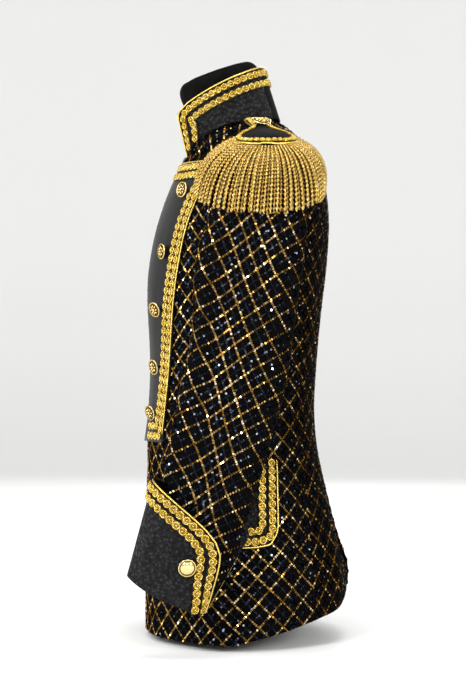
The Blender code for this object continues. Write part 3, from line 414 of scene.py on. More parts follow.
# the outer face of a wall: of the patches within sharp edges, the one that looks most away from the wearer
def outerSkin(nodeName, limit=50.0):
    mesh = nodeMesh(nodeName)
    mesh.faces.ensure_lookup_table()
    mesh.normal_update()
    patchOf = {}
    scores = []
    for seed in mesh.faces:
        if seed.index in patchOf:
            continue
        patch = len(scores)
        scores.append(0.0)
        patchOf[seed.index] = patch
        queue = [seed]
        while queue:
            face = queue.pop()
            centre = face.calc_center_median()
            away = (centre - behindPoint(nodeName, centre)).normalized()
            scores[patch] += face.calc_area() * face.normal.dot(away)
            for edge in face.edges:
                if edge.calc_face_angle(4.0) > radians(limit):
                    continue
                for other in edge.link_faces:
                    if other.index not in patchOf:
                        patchOf[other.index] = patch
                        queue.append(other)
    best = scores.index(max(scores))
    gone = [face for face in mesh.faces if patchOf[face.index] != best]
    bmesh.ops.delete(mesh, geom=gone, context="FACES")
    mesh.verts.ensure_lookup_table()
    mesh.faces.ensure_lookup_table()
    return mesh


def subdivided(data, levels):
    carrier = newObject("refining", data)
    addSmooth(carrier, levels).boundary_smooth = "PRESERVE_CORNERS"
    graph = bpy.context.evaluated_depsgraph_get()
    result = bpy.data.meshes.new_from_object(carrier.evaluated_get(graph))
    bpy.data.objects.remove(carrier, do_unlink=True)
    return result


# smooths an open skin, and swells its control points until the smooth skin passes through the real ones again
def refined(mesh, levels):
    joinPairs(mesh, 40, 60)
    data = bpy.data.meshes.new("refining")
    mesh.to_mesh(data)
    mesh.free()
    real = pointsOf(data)
    control = real.copy()
    for _ in range(4):
        result = subdivided(data, levels)
        control += real - pointsOf(result)[:len(real)]
        setPoints(data, control)
    return subdivided(data, levels)


# soft troughs and ridges: start, end, half width and depth (inward is positive), on the left side or on both
creases = {
    "sleeve": [
        ((0.262, -0.030, 0.560), (0.266, -0.034, 0.300), 0.010, 0.0035),
        ((0.262, -0.045, 0.392), (0.268, 0.010, 0.372), 0.013, 0.0030),
        ((0.262, -0.060, 0.352), (0.268, -0.005, 0.340), 0.012, 0.0026),
        ((0.262, -0.020, 0.436), (0.268, 0.040, 0.402), 0.014, 0.0022),
        ((0.250, 0.085, 0.600), (0.255, 0.040, 0.520), 0.018, 0.0030),
        ((0.235, -0.048, 0.640), (0.262, -0.020, 0.585), 0.015, 0.0028),
        ((0.268, 0.020, 0.520), (0.268, 0.030, 0.430), 0.020, -0.0025),
        ((0.268, -0.030, 0.270), (0.262, -0.060, 0.200), 0.012, 0.0030),
        ((0.180, 0.060, 0.500), (0.190, 0.020, 0.350), 0.020, 0.0030),
    ],
    "body": [
        ((0.165, 0.060, 0.570), (0.120, 0.110, 0.480), 0.018, 0.0028),
        ((0.060, 0.128, 0.360), (0.130, 0.098, 0.335), 0.014, 0.0026),
        ((0.050, 0.126, 0.405), (0.125, 0.102, 0.420), 0.013, 0.0020),
        ((0.120, 0.105, 0.250), (0.165, 0.090, 0.060), 0.016, 0.0040),
        ((0.070, 0.130, 0.240), (0.080, 0.155, 0.070), 0.018, -0.0040),
        ((0.178, 0.035, 0.220), (0.188, 0.045, 0.030), 0.014, 0.0035),
        ((0.160, -0.045, 0.220), (0.170, -0.050, 0.030), 0.016, 0.0030),
        ((0.060, -0.120, 0.180), (0.070, -0.118, 0.030), 0.018, 0.0030),
    ],
    "cuff": [
        ((0.270, -0.081, 0.190), (0.276, -0.074, 0.142), 0.0040, 0.0045),
        ((0.270, -0.106, 0.176), (0.274, -0.112, 0.120), 0.0060, 0.0022),
        ((0.262, -0.122, 0.170), (0.262, -0.132, 0.110), 0.0060, -0.0018),
        ((0.205, -0.090, 0.180), (0.200, -0.088, 0.130), 0.0055, 0.0026),
    ],
    "collar": [
        ((0.062, -0.051, 0.772), (0.066, 0.010, 0.806), 0.0035, 0.0012),
        ((0.066, -0.012, 0.768), (0.066, 0.030, 0.800), 0.0030, 0.0010),
        ((0.050, 0.050, 0.775), (0.035, 0.062, 0.800), 0.0035, 0.0010),
    ],
    "flap": [
        ((0.178, 0.010, 0.320), (0.186, 0.012, 0.262), 0.0050, 0.0012),
    ],
}


def dent(points, normals, lines, mirror):
    shift = np.zeros(len(points))
    for start, end, half, depth in lines:
        a = np.array(start) * (mirror, 1, 1)
        b = np.array(end) * (mirror, 1, 1)
        along = b - a
        place = np.clip(((points - a) @ along) / (along @ along), 0.0, 1.0)
        away = np.linalg.norm(points - (a + place[:, None] * along), axis=1)
        fade = np.sin(pi * np.clip(place * 0.9 + 0.05, 0, 1)) ** 0.6
        shift += depth * fade * np.exp(-((away / half) ** 2))
    return points - normals * shift[:, None]


def setUv(mesh, uv):
    mesh.uv_layers.active.data.foreach_set("uv", uv.astype(np.float32).reshape(-1))


def withFlatMap(obj):
    if not obj.data.uv_layers:
        obj.data.uv_layers.new(name="flat")
    return obj.data


# lays an open skin flat, as a cutter's pattern piece, at full size and with its grain upright
def layFlat(obj):
    mesh = withFlatMap(obj)
    for other in bpy.context.selected_objects:
        other.select_set(False)
    bpy.context.view_layer.objects.active = obj
    obj.select_set(True)
    bpy.ops.object.mode_set(mode="EDIT")
    bpy.ops.mesh.select_all(action="SELECT")
    bpy.ops.uv.unwrap(method="ANGLE_BASED", margin=0.0)
    bpy.ops.object.mode_set(mode="OBJECT")
    obj.select_set(False)
    uv, corners = loopUv(mesh)
    points = pointsOf(mesh)
    height = points[corners, 2]
    triangles = trianglesOf(mesh)
    a, b, c = (uv[triangles[:, k]] for k in range(3))
    ab, ac = b - a, c - a
    flatArea = abs(np.sum(ab[:, 0] * ac[:, 1] - ab[:, 1] * ac[:, 0]) / 2)
    pa, pb, pc = (points[corners[triangles[:, k]]] for k in range(3))
    realArea = np.sum(np.linalg.norm(np.cross(pb - pa, pc - pa), axis=1)) / 2
    uv = uv - uv.mean(axis=0)
    rise = np.linalg.lstsq(uv, height - height.mean(), rcond=None)[0]
    up = rise / np.linalg.norm(rise)
    turn = np.array([[up[1], -up[0]], [up[0], up[1]]])
    uv = (uv @ turn.T) * np.sqrt(realArea / flatArea)
    setUv(mesh, uv)
    return uv, realArea


def loopUv(mesh):
    uv = np.empty(len(mesh.loops) * 2, dtype=np.float32)
    mesh.uv_layers.active.data.foreach_get("uv", uv)
    corners = np.empty(len(mesh.loops), dtype=np.int64)
    mesh.loops.foreach_get("vertex_index", corners)
    return uv.reshape(-1, 2).astype(float), corners


# a sleeve's pattern: round its own axis and along it, opened at its inner side
def laySleeveFlat(obj, mirror):
    mesh = withFlatMap(obj)
    points = pointsOf(mesh)
    axis = sleeveAxis
    x = points[:, 0] * mirror - np.interp(points[:, 2], axis["height"], axis["x"])
    y = points[:, 1] - np.interp(points[:, 2], axis["height"], axis["y"])
    girth = np.interp(points[:, 2], axis["height"], axis["girth"])
    turn = np.arctan2(y, x)
    _, corners = loopUv(mesh)
    uv = np.stack([turn[corners] / (2 * pi) * girth[corners], points[corners, 2]], axis=1)
    whole = girth[corners]
    starts = np.array([polygon.loop_start for polygon in mesh.polygons])
    counts = np.array([polygon.loop_total for polygon in mesh.polygons])
    first = np.repeat(uv[starts, 0], counts)
    order = np.concatenate([np.arange(s, s + n) for s, n in zip(starts, counts)])
    gone = uv[order, 0] - first
    uv[order, 0] -= np.round(gone / whole[order]) * whole[order]
    setUv(mesh, uv)
    return uv, sum(polygon.area for polygon in mesh.polygons)


# sequins: lines of foil discs on the bias, an inch apart, with black lines halfway between
sequin = {
    "across": 0.0033,
    "pitch": 0.0034,
    "spacing": 0.0254,
    "lift": 0.0010,
    "tilt": 13.0,
    "wobble": 11.0,
    "ahead": 0.0003,
    "astray": 0.00025,
    "blackDarkening": 3.0,
}


def discTemplate(across, corners=6):
    mesh = bmesh.new()
    bmesh.ops.create_circle(mesh, cap_ends=True, segments=corners, radius=across / 2)
    return templateFrom(mesh)


# joins many moved copies of one small shape into a single mesh, each with its own tint and finish
def strewn(name, template, frames, finishes, tints, lookNames):
    points, faces = template
    count = len(frames)
    frames = np.array(frames)
    places = np.einsum("nij,kj->nki", frames[:, :3, :3], points) + frames[:, None, :3, 3]
    size = len(points)
    loops = np.concatenate([np.array(face) for face in faces])
    totals = np.array([len(face) for face in faces])
    mesh = bpy.data.meshes.new(name)
    mesh.vertices.add(count * size)
    mesh.vertices.foreach_set("co", places.reshape(-1))
    allLoops = (loops[None, :] + (np.arange(count) * size)[:, None]).reshape(-1)
    allTotals = np.tile(totals, count)
    mesh.loops.add(len(allLoops))
    mesh.loops.foreach_set("vertex_index", allLoops)
    mesh.polygons.add(len(allTotals))
    mesh.polygons.foreach_set("loop_start", np.concatenate([[0], np.cumsum(allTotals)[:-1]]))
    mesh.polygons.foreach_set("loop_total", allTotals)
    mesh.update(calc_edges=True)
    tint = mesh.attributes.new("tint", "FLOAT", "POINT")
    tint.data.foreach_set("value", np.repeat(np.array(tints, dtype=np.float32), size))
    obj = newObject(name, mesh)
    paint(obj, *lookNames)
    mesh.polygons.foreach_set("material_index", np.repeat(np.array(finishes), len(faces)))
    return obj


def sequinFrames(mesh, uv, corners, angles, keep, rng):
    triangles = trianglesOf(mesh)
    flat = [Vector((u, v, 0.0)) for u, v in uv]
    tree = BVHTree.FromPolygons(flat, [tuple(t) for t in triangles.tolist()], epsilon=0.0)
    points = pointsOf(mesh)
    normals = normalsOf(mesh)
    low = uv.min(axis=0)
    high = uv.max(axis=0)
    box = [np.array([x, y]) for y in (low[1], high[1]) for x in (low[0], high[0])]
    frames, finishes, tints = [], [], []
    gap = sequin["spacing"] / 2
    pitch, ahead, astray = sequin["pitch"], sequin["ahead"], sequin["astray"]
    for angle in angles:
        along = np.array([cos(radians(angle)), sin(radians(angle))])
        aside = np.array([-along[1], along[0]])
        span = [corner @ aside for corner in box]
        reach = [corner @ along for corner in box]
        for row in range(int(min(span) / gap) - 1, int(max(span) / gap) + 2):
            black = row % 2 != 0
            for step in range(int(min(reach) / pitch) - 1, int(max(reach) / pitch) + 2):
                spot = aside * row * gap + along * (step * pitch + rng.uniform(-ahead, ahead))
                spot = spot + aside * rng.uniform(-astray, astray)
                hit = tree.ray_cast(Vector((spot[0], spot[1], 0.1)), Vector((0.0, 0.0, -1.0)))
                if hit[2] is None:
                    continue
                made = sequinFrame(uv, corners, triangles[hit[2]], points, normals, spot, along, rng)
                if made is None or not keep(made[:3, 3]):
                    continue
                frames.append(made)
                finishes.append(1 if black else 0)
                # a tint near 1 makes a disc a painted glint; black discs seldom reach it
                tints.append(rng.random() ** (sequin["blackDarkening"] if black else 1.0))
    return frames, finishes, tints


def crossed(a, b):
    return a[0] * b[1] - a[1] * b[0]


# the place of one sequin on the worn cloth, from its spot on the flat pattern
def sequinFrame(uv, corners, triangle, points, normals, spot, along, rng):
    a, b, c = uv[triangle]
    e1, e2 = b - a, c - a
    whole = crossed(e1, e2)
    if abs(whole) < 1e-12:
        return None
    g = spot - a
    s = crossed(g, e2) / whole
    t = crossed(e1, g) / whole
    pa, pb, pc = points[corners[triangle]]
    na, nb, nc = normals[corners[triangle]]
    place = pa + (pb - pa) * s + (pc - pa) * t
    normal = unit(na + (nb - na) * s + (nc - na) * t)
    run = (pb - pa) * (crossed(along, e2) / whole) + (pc - pa) * (crossed(e1, along) / whole)
    run = unit(run - normal * (run @ normal))
    side = np.cross(normal, run)
    lean = radians(sequin["tilt"] + rng.gauss(0.0, sequin["wobble"] * 0.6))
    roll = radians(rng.gauss(0.0, sequin["wobble"]))
    return frameMatrix(normal + run * tan(lean) + side * tan(roll), run, place + normal * sequin["lift"])


# limits of a piece's cut: its least side, its least share of its box, and the slack added to the box
cutLimits = {"side": 0.011, "share": 0.301, "slack": 1.001}


# works out a piece's cut, the box round its flat pattern and the area of the cloth in it, but keeps neither
def declareCloth(uv, area):
    wide, tall = uv.max(axis=0) - uv.min(axis=0)
    grow = max(1.0, (area / (wide * tall)) ** 0.5 * cutLimits["slack"])
    flat = (max(float(wide * grow), cutLimits["side"]), max(float(tall * grow), cutLimits["side"]))
    share = min(float(area), flat[0] * flat[1])
    share = max(share, cutLimits["share"] * flat[0] * flat[1])


skins = {}


# keeps a finished outer face, so that trims can be laid on it
def keepSkin(node, mesh):
    points = [v.co.copy() for v in mesh.vertices]
    skins[node] = BVHTree.FromPolygons(points, [tuple(p.vertices) for p in mesh.polygons]), mesh


# lays points on the finished face below them, and gives each with the face's own smooth normal there
def settled(line, node, lift):
    tree, mesh = skins[node]
    normals = normalsOf(mesh)
    points = pointsOf(mesh)
    result = []
    for place in line:
        spot, _, index, _ = tree.find_nearest(Vector(place))
        ring = list(mesh.polygons[index].vertices)
        away = np.linalg.norm(points[ring] - np.array(spot), axis=1)
        weights = 1.0 / (away + 1e-5)
        smooth = unit((normals[ring] * weights[:, None]).sum(axis=0))
        result.append((np.array(spot) + smooth * lift, smooth))
    return result


def wall(obj, thick):
    made = obj.modifiers.new("Wall", "SOLIDIFY")
    made.thickness = thick
    made.offset = -1.0
    made.use_rim = True


def finishPiece(obj):
    obj.data.shade_smooth()
    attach(obj, "root")


panels = {
    "front": {"levels": 2, "angles": (45.0, -45.0), "creases": "body"},
    "side": {"levels": 2, "angles": (45.0, -45.0), "creases": "body"},
    "back": {"levels": 2, "angles": (45.0, -45.0), "creases": "body"},
    "sleeve": {"levels": 2, "angles": (32.0, -58.0), "creases": "sleeve"},
}
clothThick = 0.0014
centreStrip = {"half": 0.0155, "low": 0.30, "high": 0.715, "pitch": 0.0030, "start": 0.0015, "lift": 0.0011}
plastronEdge = {
    "height": [0.297, 0.392, 0.5, 0.6, 0.688, 0.72],
    "out": [0.092, 0.098, 0.107, 0.119, 0.144, 0.152],
    "foot": 0.302,
    "top": 0.716,
    "inner": 0.018,
    "margin": 0.004,
}


# the plastron covers this part of the front, so no sequins are sewn under it
def hiddenUnderPlastron(place):
    if not plastronEdge["foot"] < place[2] < plastronEdge["top"] or place[1] > 0:
        return False
    outer = float(np.interp(place[2], plastronEdge["height"], plastronEdge["out"]))
    return plastronEdge["inner"] < abs(place[0]) < outer - plastronEdge["margin"]


# sequins in upright rows on the strip between the plastrons
def stripFrames(mesh, uv, corners, rng):
    mesh.calc_loop_triangles()
    triangles = [tuple(t.vertices) for t in mesh.loop_triangles]
    tree = BVHTree.FromPolygons([v.co.copy() for v in mesh.vertices], triangles)
    frames, finishes, tints = [], [], []
    sign = 1.0 if pointsOf(mesh)[:, 0].mean() > 0 else -1.0
    pitch = centreStrip["pitch"]
    rows = int((centreStrip["high"] - centreStrip["low"]) / pitch)
    for row in range(rows):
        z = centreStrip["low"] + row * pitch
        for step in range(int(centreStrip["half"] / pitch)):
            x = sign * (centreStrip["start"] + (step + 0.5 * (row % 2)) * pitch)
            hit = tree.ray_cast(Vector((x, -0.4, z)), Vector((0.0, 1.0, 0.0)))
            if hit[0] is None:
                continue
            normal = np.array(hit[1])
            normal *= 1.0 if normal[1] < 0 else -1.0
            side = unit(np.cross(normal, (0.0, 0.0, 1.0)))
            run = np.cross(side, normal)
            up = normal - run * tan(radians(20 + rng.gauss(0, 5))) + side * tan(radians(rng.gauss(0, 9)))
            frames.append(frameMatrix(up, side, np.array(hit[0]) + normal * centreStrip["lift"]))
            finishes.append(1)
            # a tint near 1 makes a disc a painted glint; black discs seldom reach it
            tints.append(rng.random() ** sequin["blackDarkening"])
    return frames, finishes, tints


def makePanel(kind, side):
    settings = panels[kind]
    mirror = sides[side]
    node = kind + "_" + side
    mesh = refined(outerSkin(node), settings["levels"])
    points = dent(pointsOf(mesh), normalsOf(mesh), creases[settings["creases"]], mirror)
    setPoints(mesh, points)
    keepSkin(node, mesh)
    cloth = newObject(kind + "Cloth" + side.capitalize(), mesh)
    paint(cloth, "net")
    if kind == "sleeve":
        uv, area = laySleeveFlat(cloth, mirror)
    else:
        uv, area = layFlat(cloth)
    _, corners = loopUv(mesh)
    rng = random.Random(kind)
    keep = (lambda place: not hiddenUnderPlastron(place)) if kind == "front" else (lambda place: True)
    angles = [angle * (mirror if kind == "sleeve" else 1.0) for angle in settings["angles"]]
    frames, finishes, tints = sequinFrames(mesh, uv, corners, angles, keep, rng)
    if kind == "front":
        more = stripFrames(mesh, uv, corners, rng)
        frames, finishes, tints = frames + more[0], finishes + more[1], tints + more[2]
    name = kind + "Sequins" + side.capitalize()
    disc = discTemplate(sequin["across"])
    sequins = strewn(name, disc, frames, finishes, tints, ["goldSequin", "blackSequin"])
    wall(cloth, clothThick)
    finishPiece(cloth)
    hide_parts(node)
    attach(sequins, "root")
    declareCloth(uv, area)
    print("piece:", cloth.name, len(frames), "sequins")


for side in sides:
    for kind in panels:
        makePanel(kind, side)
print("stage: sequin panels")


# plain cloth pieces; plainHalf is half the width of the collar's smooth band at the centre back
plainCloth = {
    "plastron": {"look": "satin", "slot": "black_satin", "levels": 2, "thick": 0.0013},
    "collar": {"look": "brocade", "slot": "black_brocade", "levels": 3, "thick": 0.0016, "plainHalf": 0.045},
    "cuff": {"look": "brocade", "slot": "black_brocade", "levels": 3, "thick": 0.0016},
    "flap": {"look": "brocade", "slot": "black_brocade", "levels": 2, "thick": 0.0016},
    "epaulette": {"look": "board", "slot": "velvet_board", "levels": 2, "thick": 0.0020},
}


def makePlain(kind, side):
    settings = plainCloth[kind]
    node = kind if side is None else kind + "_" + side
    mesh = refined(outerSkin(node), settings["levels"])
    for mirror in (1.0, -1.0) if side is None else (sides[side],):
        setPoints(mesh, dent(pointsOf(mesh), normalsOf(mesh), creases.get(kind, []), mirror))
    keepSkin(node, mesh)
    piece = newObject(kind + "Cloth" + ("" if side is None else side.capitalize()), mesh)
    paint(piece, settings["look"])
    if "plainHalf" in settings:
        paint(piece, settings["look"], "board")
        for face in mesh.polygons:
            face.material_index = int(abs(face.center.x) < settings["plainHalf"] and face.center.y > 0.0)
    uv, area = layFlat(piece)
    wall(piece, settings["thick"])
    finishPiece(piece)
    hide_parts(node)
    declareCloth(uv, area)


makePlain("collar", None)
for side in sides:
    for kind in ("plastron", "cuff", "flap", "epaulette"):
        makePlain(kind, side)
print("stage: plain cloth")


# the dress form, rounded from its solid, with the edges of its base and neck kept crisp
def makeForm():
    mesh = nodeMesh("dress_form")
    joinPairs(mesh, 20, 60)
    sharp = mesh.edges.layers.float.get("crease_edge") or mesh.edges.layers.float.new("crease_edge")
    for edge in mesh.edges:
        if edge.calc_face_angle(0.0) > radians(50):
            edge[sharp] = 0.8
    form = objectFrom("dressForm", mesh)
    paint(form, "form")
    addSmooth(form, 2)
    finishPiece(form)
    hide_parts("dress_form")


makeForm()
print("stage: dress form")


# braid: a chain of rosettes sewn along the middle of each braid strip
rosette = {"pitch": 0.0122, "ring": 0.0051, "cord": 0.0013, "boss": 0.0024, "inner": 0.0031}
collarRosette = {"pitch": 0.0106, "ring": 0.0044, "cord": 0.0012, "boss": 0.0020, "inner": 0.0027}
narrowRosette = {"pitch": 0.0086, "ring": 0.0033, "cord": 0.0010, "boss": 0.0016, "inner": 0.0020}


# adds a closed ring of cord, low and flat as it lies on the tape
def addRing(mesh, radius, cordRadius, height, steps):
    made = bmesh.ops.create_circle(mesh, segments=4, radius=cordRadius)
    verts = made["verts"]
    edges = list({edge for v in verts for edge in v.link_edges})
    bmesh.ops.rotate(mesh, verts=verts, cent=(0, 0, 0), matrix=Matrix.Rotation(radians(90), 3, "X"))
    bmesh.ops.translate(mesh, verts=verts, vec=(radius, 0.0, height))
    spun(mesh, verts + edges, steps)


def rosetteTemplate(sizes):
    mesh = bmesh.new()
    addRing(mesh, sizes["ring"], sizes["cord"], sizes["cord"] * 0.7, 10)
    addRing(mesh, sizes["inner"], sizes["cord"] * 0.55, sizes["cord"] * 0.5, 8)
    for place, size in ((0.0, sizes["boss"] * 0.8), (sizes["pitch"] / 2, sizes["boss"] * 0.6)):
        boss = bmesh.ops.create_icosphere(mesh, subdivisions=1, radius=size)
        bmesh.ops.scale(mesh, verts=boss["verts"], vec=(1.0, 1.0, 0.75))
        bmesh.ops.translate(mesh, verts=boss["verts"], vec=(place, 0.0, size * 0.6))
    bmesh.ops.recalc_face_normals(mesh, faces=mesh.faces)
    return templateFrom(mesh)


# the vertices of a mesh by how many edges they lie from the first ones
def stepsFrom(starts):
    levels = [list(starts)]
    seen = set(starts)
    while levels[-1]:
        onward = []
        for v in levels[-1]:
            for edge in v.link_edges:
                other = edge.other_vert(v)
                if other not in seen:
                    seen.add(other)
                    onward.append(other)
        levels.append(onward)
    return levels[:-1]


# the faces that lie level with a face and hang together with it
def levelWith(seed):
    found = [seed]
    for face in found:
        for edge in face.edges:
            found += [f for f in edge.link_faces if f not in found and f.normal.dot(seed.normal) > 0.97]
    return found


# the middle line of a long solid strip: the middles of its cross sections, met one by one from an end cap;
# of the faces near both ends, the cap is the one from which the sections come out alike
def middleLine(node):
    mesh = nodeMesh(node)
    mesh.verts.ensure_lookup_table()
    mesh.normal_update()
    tip = stepsFrom([mesh.verts[0]])[-1][0]
    walks = []
    for end in (tip, stepsFrom([tip])[-1][0]):
        near = {face for edge in end.link_edges for v in edge.verts for face in v.link_faces}
        for seed in sorted(near, key=lambda face: face.index):
            ring = {v for face in levelWith(seed) for v in face.verts}
            if len(ring) <= 8:
                levels = stepsFrom(sorted(ring, key=lambda v: v.index))
                walks.append((sum(len(level) != len(ring) for level in levels), len(walks), levels))
    levels = min(walks)[2]
    line = np.array([sum((v.co for v in level), Vector()) / len(level) for level in levels])
    mesh.free()
    return line


# frames at an even pitch along a settled line, with z away from the cloth
def chainFrames(line, pitch, lift):
    points = np.array([p for p, _ in line])
    normals = np.array([n for _, n in line])
    far = walked(points)
    count = max(int(round(far[-1] / pitch)), 1)
    gap = far[-1] / count
    frames = []
    for k in range(count):
        at = (k + 0.5) * gap
        run = between(min(at + gap / 2, far[-1]), far, points) - between(max(at - gap / 2, 0.0), far, points)
        up = unit(between(at, far, normals))
        frames.append(frameMatrix(up, run, between(at, far, points) + up * lift))
    return frames


def pieceName(node, ending):
    words = node.split("_")
    return words[0] + "".join(word.capitalize() for word in words[1:]) + ending


# the panel that a trim is sewn to
def baseOf(node):
    words = node.split("_")
    return "_".join([words[0]] + [word for word in words if word in sides])


def evenly(points, gap):
    far = walked(points)
    places = np.linspace(0.0, far[-1], max(int(far[-1] / gap), 2) + 1)
    return between(places, far, points).T


tape = {"wide": 0.0092, "narrow": 0.0062, "lift": 0.0011, "crown": 0.0005, "thick": 0.0010, "gap": 0.004}


# a flat tape along a settled line, a little crowned across its width
def makeTape(name, line, width):
    count = len(line)
    mesh = bmesh.new()
    bmesh.ops.create_grid(mesh, x_segments=count - 1, y_segments=4, size=0.5)
    for v in mesh.verts:
        k = int(round((v.co.x + 0.5) * (count - 1)))
        across = v.co.y * 2
        place, normal = line[k]
        run = line[min(k + 1, count - 1)][0] - line[max(k - 1, 0)][0]
        aside = unit(np.cross(normal, run))
        v.co = place + aside * across * width / 2 + normal * (1 - across * across) * tape["crown"]
    return objectFrom(name, mesh)


def makeBraid(node, sizes):
    narrow = "epaulette" in node
    line = settled(evenly(middleLine(node), tape["gap"]), baseOf(node), tape["lift"])
    strip = makeTape(pieceName(node, "Tape"), line, tape["narrow" if narrow else "wide"])
    wall(strip, tape["thick"])
    paint(strip, "braidTape")
    finishPiece(strip)
    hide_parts(node)
    frames = chainFrames(line, sizes["pitch"], tape["crown"])
    rng = random.Random(node)
    tints = [rng.random() for _ in frames]
    name = pieceName(node, "Rosettes")
    chain = strewn(name, rosetteTemplate(sizes), frames, [0] * len(frames), tints, ["braid"])
    finishPiece(chain)
    return len(frames)


rosetteCount = 0
for node in sorted(nodes):
    if "braid" in node:
        special = {"epaulette": narrowRosette, "collar": collarRosette}
        rosetteCount += makeBraid(node, special.get(node.split("_")[0], rosette))
print("stage: braid,", rosetteCount, "rosettes")


pipingSwell = 0.0005


# piping: the four-sided solid rounded off, and swollen a little to win back what that takes away
def makePiping(node):
    mesh = nodeMesh(node)
    joinPairs(mesh, 30, 80)
    cordPiece = objectFrom(pieceName(node, "Cord"), mesh)
    addSmooth(cordPiece, 2)
    swell = cordPiece.modifiers.new("Swell", "DISPLACE")
    swell.strength = pipingSwell
    swell.mid_level = 0.0
    paint(cordPiece, "piping")
    finishPiece(cordPiece)
    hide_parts(node)


edgeCord = {"radius": 0.0015, "sides": 6, "lift": 0.0006}


# a round cord laid along a closed or open line of points
def makeTube(name, points, radius, sideCount, outward):
    count = len(points)
    mesh = bmesh.new()
    bmesh.ops.create_grid(mesh, x_segments=count - 1, y_segments=sideCount, size=0.5)
    for v in mesh.verts:
        k = int(round((v.co.x + 0.5) * (count - 1)))
        turn = (v.co.y + 0.5) * 2 * pi
        run = points[min(k + 1, count - 1)] - points[max(k - 1, 0)]
        aside = unit(np.cross(outward, run))
        up = unit(np.cross(run, aside))
        v.co = points[k] + (aside * cos(turn) + up * sin(turn)) * radius
    bmesh.ops.remove_doubles(mesh, verts=mesh.verts, dist=1e-6)
    bmesh.ops.recalc_face_normals(mesh, faces=mesh.faces)
    return objectFrom(name, mesh)


# the rim of a finished skin, from one of its corners round to the next, as points in order
def rimOf(node):
    mesh = bmesh.new()
    mesh.from_mesh(skins[node][1])
    here = next(edge for edge in mesh.edges if edge.is_boundary).verts[0]
    order = []
    while here is not None:
        order.append(here)
        near = [edge.other_vert(here) for edge in here.link_edges if edge.is_boundary]
        here = next((v for v in near if v not in order), None)
    points = np.array([v.co[:] for v in order])
    mesh.free()
    return points


def makeEdgeCord(side):
    points = rimOf("epaulette_" + side)
    points = np.concatenate([points, points[:1]])
    points[:, 2] += edgeCord["lift"]
    name = "epauletteEdgeCord" + side.capitalize()
    piece = makeTube(name, points, edgeCord["radius"], edgeCord["sides"], (0.0, 0.0, 1.0))
    paint(piece, "piping")
    finishPiece(piece)


for node in sorted(nodes):
    if "piping" in node:
        makePiping(node)
for side in sides:
    makeEdgeCord(side)
print("stage: piping")


# buttons: turned profiles of (reach as a share of the radius, fall as a share of the dome, polish and painted
# shade, low in the grooves)
buttonShape = {"steps": 24, "petals": 8, "beads": 20, "dome": 0.16}
plainFace = [(0.0, 0.0, 1.0), (0.30, 0.08, 1.0), (0.55, 0.28, 1.0), (0.72, 0.56, 1.0), (0.78, 0.90, 0.1),
             (0.84, 0.90, 0.1), (0.88, 0.62, 0.9), (0.97, 0.76, 1.0)]
petalledFace = [(0.0, 0.0, 1.0), (0.16, 0.10, 1.0), (0.22, 0.50, 0.1), (0.62, 0.70, 0.15), (0.74, 0.86, 0.1),
                (0.80, 0.90, 0.1), (0.87, 0.62, 0.9), (0.97, 0.76, 1.0)]


# a solid button's foot, axis and width, from its two points where many edges meet
def buttonPlace(node):
    mesh = nodeMesh(node)
    hubs = sorted(mesh.verts, key=lambda v: -len(v.link_edges))[:2]
    spread = [max(e.calc_length() for e in v.link_edges) for v in hubs]
    apex, foot = (hubs[0], hubs[1]) if spread[0] > spread[1] else (hubs[1], hubs[0])
    axis = (apex.co - foot.co).normalized()
    width = 2 * max(((v.co - foot.co) - axis * (v.co - foot.co).dot(axis)).length for v in mesh.verts)
    tall = (apex.co - foot.co).length
    result = foot.co.copy(), axis, width, tall
    mesh.free()
    return result


# a ring of beads or, drawn out, of petals, polished all over
def addBeads(mesh, tone, half, row):
    count, reach, size, stretch, height = row
    for k in range(count):
        turn = 2 * pi * k / count
        verts = bmesh.ops.create_icosphere(mesh, subdivisions=1, radius=half * size)["verts"]
        for v in verts:
            v[tone] = 1.0
        place = (cos(turn) * half * reach, sin(turn) * half * reach, height)
        bmesh.ops.scale(mesh, verts=verts, vec=(stretch, 1.0, 0.75))
        bmesh.ops.rotate(mesh, verts=verts, cent=(0, 0, 0), matrix=Matrix.Rotation(turn, 3, "Z"))
        bmesh.ops.translate(mesh, verts=verts, vec=place)


def makeButton(node):
    foot, axis, width, tall = buttonPlace(node)
    half = width / 2
    dome = width * buttonShape["dome"]
    rim = tall - dome
    plain = "cuff" in node
    face = plainFace if plain else petalledFace
    profile = [(reach, tall - dome * fall, polishAndShade) for reach, fall, polishAndShade in face]
    profile += [(1.0, rim, 0.8), (0.94, rim - 0.0006, 0.3), (0.5, rim - 0.0012, 0.3)]
    profile += [(0.2, rim - 0.0014, 0.3), (0.19, 0.0, 0.3)]
    mesh = bmesh.new()
    tone = mesh.verts.layers.float.new("tint")
    turned(mesh, [(reach * half, z) for reach, z, _ in profile], buttonShape["steps"])
    for v in mesh.verts:
        out = (v.co.x ** 2 + v.co.y ** 2) ** 0.5 / half
        v[tone] = min(profile, key=lambda row: abs(row[0] - out) + abs(row[1] - v.co.z) / half)[2]
    addBeads(mesh, tone, half, (buttonShape["beads"], 0.92, 0.055, 1.0, tall - dome * 0.60))
    if not plain:
        addBeads(mesh, tone, half, (buttonShape["petals"], 0.46, 0.125, 1.9, tall - dome * 0.48))
    bmesh.ops.recalc_face_normals(mesh, faces=mesh.faces)
    place = Matrix.Translation(foot) @ axis.to_track_quat("Z", "Y").to_matrix().to_4x4()
    bmesh.ops.transform(mesh, matrix=place, verts=mesh.verts)
    piece = objectFrom(pieceName(node, "Face"), mesh)
    paint(piece, "button")
    finishPiece(piece)
    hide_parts(node)


for node in sorted(nodes):
    if "button" in node:
        makeButton(node)
print("stage: buttons")


